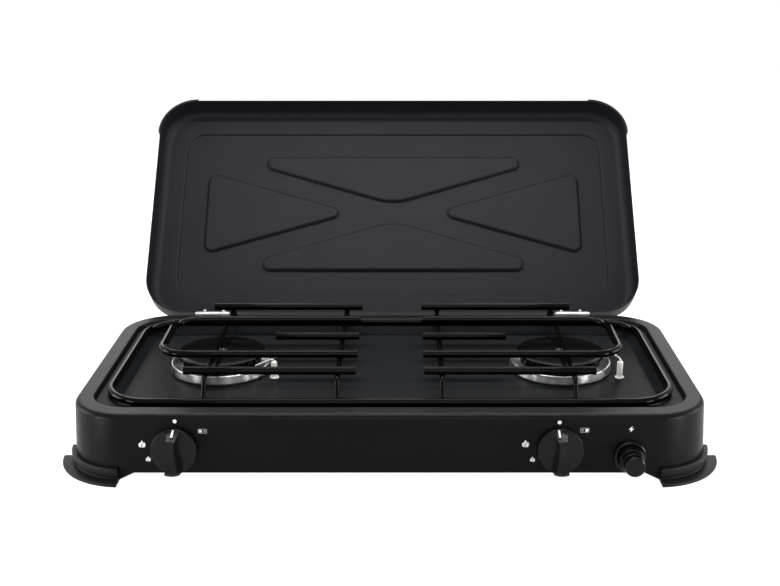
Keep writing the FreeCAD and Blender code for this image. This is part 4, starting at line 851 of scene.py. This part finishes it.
def makeCap(size):
    thickness, hole, rim = size["thickness"], size["hole"], size["recess"] + size["recessRim"]
    top = thickness + size["dome"]
    ball = (size["radius"] ** 2 + size["dome"] ** 2) / (2 * size["dome"])
    bow = [(r, top - r * r / (2 * ball), 0) for r in size["bow"]]
    corners = [(hole, 0, 0), (size["radius"], 0, size["edge"]),
               (size["radius"], thickness, size["rounding"])] + bow
    corners += [(rim, top - size["recessDrop"], size["edge"]),
                (size["recess"], thickness, size["recessRounding"]), (hole, thickness, 0)]
    piece = turnPiece("capForm", corners, steps=96, fine=4, closed=True)
    return placePiece(piece, Matrix.Translation((0, 0, head["top"] * mm)))


def makeScrew(name, size):  # a domed head with a cross slot, its underside at zero
    top, height, shank, tip = size["head"], size["height"], size["shank"], -size["length"]
    ball = (top ** 2 + height ** 2) / (2 * height)
    bow = [(r, height - ball + math.sqrt(ball ** 2 - r ** 2), 0)
           for r in (top * share for share in size["bow"])]
    corners = [(0, tip, 0), (shank - size["chamfer"], tip, 0), (shank, tip + size["chamfer"], 0),
               (shank, 0, 0), (top, 0, 0), (top, size["edge"], 0)] + bow + [(0, height, 0)]
    piece = turnPiece(name, corners, steps=40, fine=2)
    reach, half, depth = size["slotReach"], size["slot"] / 2, size["slotDepth"]
    for halfX, halfY in ((reach, half), (half, reach)):
        combine(piece, addBlock("slotCutter", (-halfX, -halfY, height - depth), (halfX, halfY, height + 1)))
    return piece


cupForm, headForm, capForm = makeCup(cup), makeHead(head), makeCap(cap)
screwForm = placePiece(makeScrew("capScrewForm", capScrew),
                       Matrix.Translation((0, 0, (head["top"] + cap["thickness"]) * mm)))
capScrews = []
for name, side in sides:
    finishPiece(atBurner(cupForm, f"{name}BurnerCup", side), "base", [f"{name}_burner_cup"],
                f"{name}SpunSteel")
    finishPiece(atBurner(headForm, f"{name}BurnerHead", side), "base", [f"{name}_burner_head"])
    finishPiece(atBurner(capForm, f"{name}BurnerCap", side), "base", [f"{name}_burner_cap"])
    capScrews.append(atBurner(screwForm, f"{name}CapScrew", side))
finishPiece(joinPieces(capScrews), "base", ["burner_cap_screws"], "darkScrewSteel")
for form in (cupForm, headForm, capForm, screwForm):
    bpy.data.objects.remove(form)
print("burners made")


# Electrodes: glazed ceramic with a steel wire that reaches over the burner

electrode = {"radius": 2.75, "bottom": 38.0, "floor": 47.5, "flange": 4.2, "flangeTop": 49.0, "top": 63.6,
             "shoulder": (0.8, 1.0), "bore": 0.85, "wire": 0.8, "wireTop": 66.0, "bends": (2.0, 4.0)}
sparkWires = {"left": [(-16.5, -2.5, -6.0)], "right": [(-7.0, 17.0, 0.0), (-13.0, 20.0, -4.0)]}


def makeInsulator(name, x, y, size):
    radius, flange, bore, top = size["radius"], size["flange"], size["bore"], size["top"]
    inwards, down = size["shoulder"]
    corners = [(bore, size["bottom"], 0), (radius, size["bottom"], 0.4), (radius, size["floor"], 0),
               (flange, size["floor"], 0.3), (flange, size["flangeTop"], 0.6),
               (radius, size["flangeTop"], 0.5), (radius, top - down, 0.4), (radius - inwards, top, 0.3),
               (bore, top, 0)]
    return placePiece(turnPiece(name, corners, steps=48, fine=4, closed=True), shifted(x, y, 0))


wires = []
for name, side in sides:
    x, y = side * burner["x"] + burner["electrode"][0], burner["y"] + burner["electrode"][1]
    finishPiece(makeInsulator(f"{name}Insulator", x, y, electrode), "base", [f"{name}_electrode_insulator"])
    route = [(x, y, electrode["bottom"]), (x, y, electrode["wireTop"])]
    route += [(x + dx, y + dy, electrode["wireTop"] + dz) for dx, dy, dz in sparkWires[name]]
    wires.append(bendRod(f"{name}SparkWire", route, electrode["bends"], electrode["wire"]))
finishPiece(joinPieces(wires), "base", ["electrode_wires"])
print("electrodes made")


# Pan support, welded from bent rod

rods = {"radius": 3.5, "rim": (241.5, -102.0, 110.0, 38.0), "rimHeight": 57.3, "barHeight": 78.5,
        "inner": 29.0, "barEnd": 175.5, "shortEnd": 106.0, "barHalf": 88.5, "loopEnd": 204.5,
        "loopHalf": 47.7, "loopCorner": 23.0, "endRounding": 0.8}
crossWires = {"radius": 2.2, "height": 73.9, "at": (44.5, 157.0), "front": -89.5, "rear": 97.5,
              "inset": 1.5, "bend": 5.0}
weldBead = {"outline": [(0, -2.2, 0), (1.6, -1.9, 1.0), (2.6, 0, 1.0), (2.2, 1.4, 0.5), (0, 1.6, 0)],
            "lift": 0.3, "stretch": 1.35}


def straightBar(name, side, y, end):  # with a point at its middle, since a line starts as a circle
    points = [(side * x, y, rods["barHeight"]) for x in (rods["inner"], (rods["inner"] + end) / 2, end)]
    return bendRod(name, points, 0, rods["radius"], endRounding=rods["endRounding"])


def makeLoop(name, side):
    low, high = burner["y"] - rods["loopHalf"], burner["y"] + rods["loopHalf"]
    points = [(side * x, y, rods["barHeight"]) for x, y in
              ((rods["inner"], low), (rods["loopEnd"], low), (rods["loopEnd"], high), (rods["inner"], high))]
    return bendRod(name, points, rods["loopCorner"], rods["radius"], endRounding=rods["endRounding"])


def makeRim(size):
    halfX, front, rear, corner = size["rim"]
    points = [(x, y, size["rimHeight"]) for x, y, radius in rectangle(halfX, front, rear, corner)]
    return bendRod("supportRim", points, corner, size["radius"], closed=True)


def makeCrossWires(size):
    front, rear = rods["rim"][1:3]
    made = []
    for x in size["at"]:
        for side in (-1, 1):
            points = [(side * x, front + size["inset"], rods["rimHeight"]),
                      (side * x, size["front"], size["height"]), (side * x, size["rear"], size["height"]),
                      (side * x, rear - size["inset"], rods["rimHeight"])]
            made.append(bendRod("crossWires", points, size["bend"], size["radius"]))
    return made


def makeWeldBeads(size):  # the small fillets of weld metal where each wire is joined to a bar
    made = []
    level = rods["barHeight"] - rods["radius"] + size["lift"]
    for x in crossWires["at"]:
        shortBar = [0.0] if x < rods["shortEnd"] else []
        rows = [-rods["barHalf"], -rods["loopHalf"]] + shortBar + [rods["loopHalf"], rods["barHalf"]]
        for side in (-1, 1):
            for row in rows:
                place = shifted(side * x, burner["y"] + row, level)
                made.append(placePiece(turnPiece("weldBeads", size["outline"], steps=16, fine=3),
                                       place @ Matrix.Diagonal((size["stretch"], 1.0, 1.0, 1.0))))
    return made


finishPiece(makeRim(rods), "pan_support", ["support_rim"])
for name, side in sides:
    finishPiece(makeLoop(f"{name}Loop", side), "pan_support", [f"{name}_support_loop"])
for name, offset, end in (("front", -rods["barHalf"], rods["barEnd"]),
                          ("rear", rods["barHalf"], rods["barEnd"]), ("short", 0.0, rods["shortEnd"])):
    bars = [straightBar(f"{name}Bars", side, burner["y"] + offset, end) for side in (-1, 1)]
    finishPiece(joinPieces(bars), "pan_support", [f"{name}_support_bars"])
finishPiece(joinPieces(makeCrossWires(crossWires) + makeWeldBeads(weldBead)), "pan_support",
            ["support_cross_wires"])
print("pan support welded")


# Knobs: a round skirt and a waisted grip, dished along its front and rounded at its ends. The upper end
# slopes back and carries a white line.

knob = {"places": {"left": -176.5, "right": 140.5}, "pointers": {"left": 0.6, "right": -2.4},
        "height": 29.0, "gap": 3.0, "skirt": 3.0, "radius": 19.2, "face": 18.7, "top": 17.5, "bore": 3.05,
        "hub": 6.0, "hollow": 15.5, "hollowDepth": 1.8, "rim": 1.0, "gripLow": 2.2, "gripFoot": 15.4,
        "gripTop": 11.8, "waist": 1.3, "endFoot": 18.6, "endTop": 17.4, "spare": 0.4, "spareTop": 0.5,
        "dishHalf": 14.5, "dishDepth": 2.6, "dishReach": 20, "rounding": 1.8, "endRounding": 5.0,
        "endSlope": 0.78, "line": 1.5, "lineDepth": 0.4, "lineFilm": 0.12, "lineStart": 0.1,
        "lineLength": 9.0, "lineEdge": 0.1}


def makeGrip(size, cuts=16):
    foot, front, high = size["gripFoot"], size["gap"] + size["skirt"], size["gap"] + size["top"]
    low, reach = size["gap"] + size["gripLow"], size["endFoot"] + size["spare"]
    grip = addBlock("gripForm", (-foot / 2, -reach, low), (foot / 2, reach, high + size["spareTop"]))
    editing(grip)
    pick("VERT", lambda v: v.co.z > (low + high) / 2 * mm)
    bpy.ops.transform.resize(value=(size["gripTop"] / foot, 1, 1), center_override=(0, 0, 0))
    for i in range(1, cuts):
        bpy.ops.mesh.select_all(action="SELECT")
        y = reach * (2 * i / cuts - 1)
        bpy.ops.mesh.bisect(plane_co=(0, y * mm, 0), plane_no=(0, 1, 0))
        pick("VERT", lambda v: abs(v.co.y - y * mm) < samePlace)
        narrow = 1 - 2 * size["waist"] * (1 - (y / reach) ** 2) / foot
        bpy.ops.transform.resize(value=(narrow, 1, 1), center_override=(0, 0, 0))
    dish = (size["dishHalf"] ** 2 + size["dishDepth"] ** 2) / (2 * size["dishDepth"])
    level, side = high - size["dishDepth"] + dish, size["dishReach"]
    combine(grip, addDrum("dishForm", dish, (-side, 0, level), (side, 0, level), vertices=200))
    under = low - 1  # clear of the grip's foot
    corners = [(0, under, 0), (size["endFoot"], under, 0), (size["endFoot"], front, 0),
               (size["endTop"], high, size["endRounding"]), (0, high, 0)]
    ends = turnPiece("endForm", corners, steps=128, fine=8)
    editing(ends)
    pick("VERT", lambda v: v.co.y > 0 and v.co.z > front * mm + samePlace)
    bpy.ops.transform.resize(value=(1, size["endSlope"], 1), center_override=(0, 0, 0))
    combine(grip, ends, "INTERSECT")
    roundEdges(grip, size["rounding"], segments=4, angle=30)
    return grip


def makeKnob(size):
    base, front, hub, hollow, radius = (size["gap"], size["gap"] + size["skirt"], size["hub"],
                                        size["hollow"], size["radius"])
    level = base + size["hollowDepth"]
    corners = [(size["bore"], base, 0), (hub, base, 0), (hub, level, 0), (hollow, level, 0),
               (hollow, base, 0), (radius, base, 0.3), (radius, base + size["rim"], 0.5),
               (size["face"], front, 0.6), (0, front, 0)]
    return joinPieces([turnPiece("knobForm", corners, steps=96, fine=3), makeGrip(size)])


def makePointer(size):  # painted line, lying on the slope of the upper end
    low, high, half = size["gap"] + size["skirt"], size["gap"] + size["top"], size["line"] / 2
    lean = math.atan2(size["endFoot"] - size["endTop"] * size["endSlope"], high - low)
    strip = addBlock("pointerForm", (-half, -size["lineDepth"], size["lineStart"]),
                     (half, size["lineFilm"], size["lineLength"]))
    roundEdges(strip, size["lineEdge"], angle=30)
    return placePiece(strip, Matrix.Translation(Vector((0, size["endFoot"], low)) * mm)
                      @ Matrix.Rotation(lean, 4, "X"))


knobForm, pointerForm = makeKnob(knob), makePointer(knob)
for name, x in knob["places"].items():
    place = onFront(x, knob["height"])
    finishPiece(copyPiece(knobForm, f"{name}Knob", place), f"{name}_knob", [f"{name}_knob"])
    place = place @ Matrix.Translation((knob["pointers"][name] * mm, 0, 0))
    finishPiece(copyPiece(pointerForm, f"{name}Pointer", place), f"{name}_knob", [f"{name}_knob"],
                "printedInk")
for form in (knobForm, pointerForm):
    bpy.data.objects.remove(form)
print("knobs moulded")


# Igniter: bezel and stepped button

igniter = {"x": 198.0, "z": 23.0, "bezel": 13.65, "lift": 0.02, "height": 4.0, "rounding": 1.9,
           "sleeve": 12.3, "sleeveEnd": -12.0, "pocket": 10.8, "pocketEnd": -9.5, "pocketRounding": 0.6,
           "rear": 8.5, "end": -58.0, "bore": 5.3, "boreEnd": -50.0, "plunger": 5.0, "plungerEnd": -25.0,
           "radii": (10.5, 9.25, 8.45), "steps": ((-1.0, 13.2), (14.2, 19.0), (20.2, 26.2)),
           "stepRoundings": (0.8, 0.8, 1.8), "neck": 7.6}


def makeBezel(size):
    pocket, bezel, sleeve, rear, bore = (size[key] for key in ("pocket", "bezel", "sleeve", "rear", "bore"))
    corners = [(pocket, 0, 0), (pocket, size["height"], size["pocketRounding"]),
               (bezel, size["height"], size["rounding"]), (bezel, size["lift"], 0.3),
               (sleeve, size["lift"], 0), (sleeve, size["sleeveEnd"], 0.3), (rear, size["sleeveEnd"], 0.3),
               (rear, size["end"], 0.5), (0, size["end"], 0), (0, size["boreEnd"], 0),
               (bore, size["boreEnd"], 0), (bore, size["pocketEnd"], 0), (pocket, size["pocketEnd"], 0)]
    return turnPiece("igniterBezel", corners, steps=96, fine=5, closed=True)


def makeButton(size):
    plunger, neck, steps = size["plunger"], size["neck"], size["steps"]
    corners = [(0, size["plungerEnd"], 0), (plunger, size["plungerEnd"], 0.4), (plunger, steps[0][0], 0)]
    for i, (radius, (low, high), rounding) in enumerate(zip(size["radii"], steps, size["stepRoundings"])):
        if i:
            corners += [(neck, steps[i - 1][1], 0.3), (neck, low, 0.3)]
        corners += [(radius, low, 0.4), (radius, high, rounding)]
    corners.append((0, steps[-1][1], 0))
    return turnPiece("igniterButton", corners, steps=96, fine=4)


igniterPlace = onFront(igniter["x"], igniter["z"])
finishPiece(placePiece(makeBezel(igniter), igniterPlace), "base", ["igniter_body"], "polishedAbs")
finishPiece(placePiece(makeButton(igniter), igniterPlace), "igniter_button", ["igniter_button"],
            "polishedAbs")
print("igniter made")


# Return springs behind the knobs and round the plunger of the igniter.

tapSpring = {"radius": 3.9, "wire": 1.0, "low": -14.0, "high": -8.0, "turns": 4, "travel": 2.5}
igniterSpring = {"radius": 8.5, "wire": 1.0, "low": -9.5, "high": -1.0, "turns": 5, "travel": 5.0}
coilSteps = {"round": 12, "turn": 32}


def makeSpring(name, size):
    wire, low = size["wire"], size["low"]
    span = (size["high"] - low - wire) * mm
    objectMode()
    bpy.ops.mesh.primitive_circle_add(vertices=coilSteps["round"], radius=wire / 2 * mm)
    coil = bpy.context.object
    coil.name = name
    place = Matrix.Translation(Vector((size["radius"], 0, low + wire / 2)) * mm)
    placePiece(coil, place @ Matrix.Rotation(math.pi / 2, 4, "X"))
    addModifier(coil, "SCREW", {"angle": math.tau, "screw_offset": span / size["turns"],
                                "iterations": size["turns"], "steps": coilSteps["turn"],
                                "render_steps": coilSteps["turn"]})
    editing(coil)
    for lower in (True, False):
        pick("EDGE", lambda e: e.is_boundary and (e.verts[0].co.z < low * mm + span / 2) == lower)
        bpy.ops.mesh.edge_face_add()
    outwards(coil)
    return coil


def fitSpring(name, size, place, body, node):
    coil = placePiece(makeSpring(name, size), place)
    finishPiece(coil, body, [node])
    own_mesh(coil)


for name, x in knob["places"].items():
    fitSpring(f"{name}TapSpring", tapSpring, onFront(x, knob["height"]), f"{name}_tap_plug",
              f"{name}_tap_spring")
fitSpring("igniterSpring", igniterSpring, igniterPlace, "base", "igniter_spring")
print("springs coiled")


# Printed marks on the front panel: a dot, two sizes of flame, a pair of squares in a grey frame and a bolt

def patch(halfX, halfY, radius):
    return [(x * halfX, y * halfY, radius) for x, y in ((-1, -1), (1, -1), (1, 1), (-1, 1))]


dot, square, speck = patch(1.65, 1.65, 1.64), patch(1.2, 1.2, 0.3), patch(0.8, 0.8, 0.2)
frameLine = patch(3.7, 2.0, 0.8)
bolt = [(1.2, 2.8, 0), (-2.3, -0.5, 0), (-0.2, -0.3, 0), (-1.2, -2.8, 0), (2.3, 0.5, 0), (0.2, 0.3, 0)]
flame = [(0.1, 3.2, 0.2), (1.3, 1.3, 0.6), (-0.6, -1.2, 0.5), (-0.7, -3.0, 0.1), (-2.5, -2.8, 1.4),
         (-2.8, 0.3, 0.9), (-1.1, 1.2, 0.8)]
tongue = [(2.0, 1.5, 0.2), (3.0, -0.1, 0.8), (2.6, -2.9, 1.4), (-0.2, -3.1, 0.2), (0.0, -1.1, 0.5)]
largeFlamePlaces = [(-203.2, 33.4), (111.7, 33.7)]
smallFlamePlaces = [(-198.6, 20.4), (117.8, 20.0)]
marks = [  # name, outline, scale, finish and the places on the panel
    ("knobDots", dot, 1.0, "printedInk", [(-175.3, 53.0), (139.3, 52.1)]),
    ("largeFlames", flame, 1.0, "printedInk", largeFlamePlaces),
    ("largeTongues", tongue, 1.0, "printedInk", largeFlamePlaces),
    ("smallFlames", flame, 0.72, "printedInk", smallFlamePlaces),
    ("smallTongues", tongue, 0.72, "printedInk", smallFlamePlaces),
    ("brightSquares", square, 1.0, "printedInk", [(-154.7, 44.5), (161.8, 45.3)]),
    ("igniterBolt", bolt, 1.0, "printedInk", [(198.2, 46.3)]),
    ("dimSquares", speck, 1.0, "printedGreyInk", [(-151.3, 44.5), (158.4, 45.3)]),
    ("squareFrames", frameLine, 1.0, "printedGreyInk", [(-153.0, 44.5), (160.1, 45.3)]),
]
ink = {"film": 0.12, "gap": 0.02, "frameWidth": 0.6}


def printMarks(name, line, scale, places):
    made = []
    for x, z in places:
        corners = [(u * scale, v * scale - baseY, radius * scale) for u, v, radius in line]
        film = addOutline(name, corners, ink["gap"], segments=4)
        if line is frameLine:
            bpy.ops.mesh.inset(thickness=ink["frameWidth"] * mm)
            bpy.ops.mesh.delete(type="FACE")
        addModifier(film, "SOLIDIFY", {"thickness": ink["film"] * mm, "offset": 1.0})
        made.append(placePiece(film, onFront(x, z)))
    return joinPieces(made)


for name, line, scale, finish, places in marks:
    finishPiece(printMarks(name, line, scale, places), "base", ["base_housing"], finish)
print("marks printed")


# Inner pieces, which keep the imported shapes

def dressFrameNodes():
    for name, node in frame["nodes"].items():
        if not node.hide_render:
            node.data.materials.clear()
            node.data.materials.append(finishes[finishOf[slotOf[name]]])


dressFrameNodes()
print("inner pieces dressed")
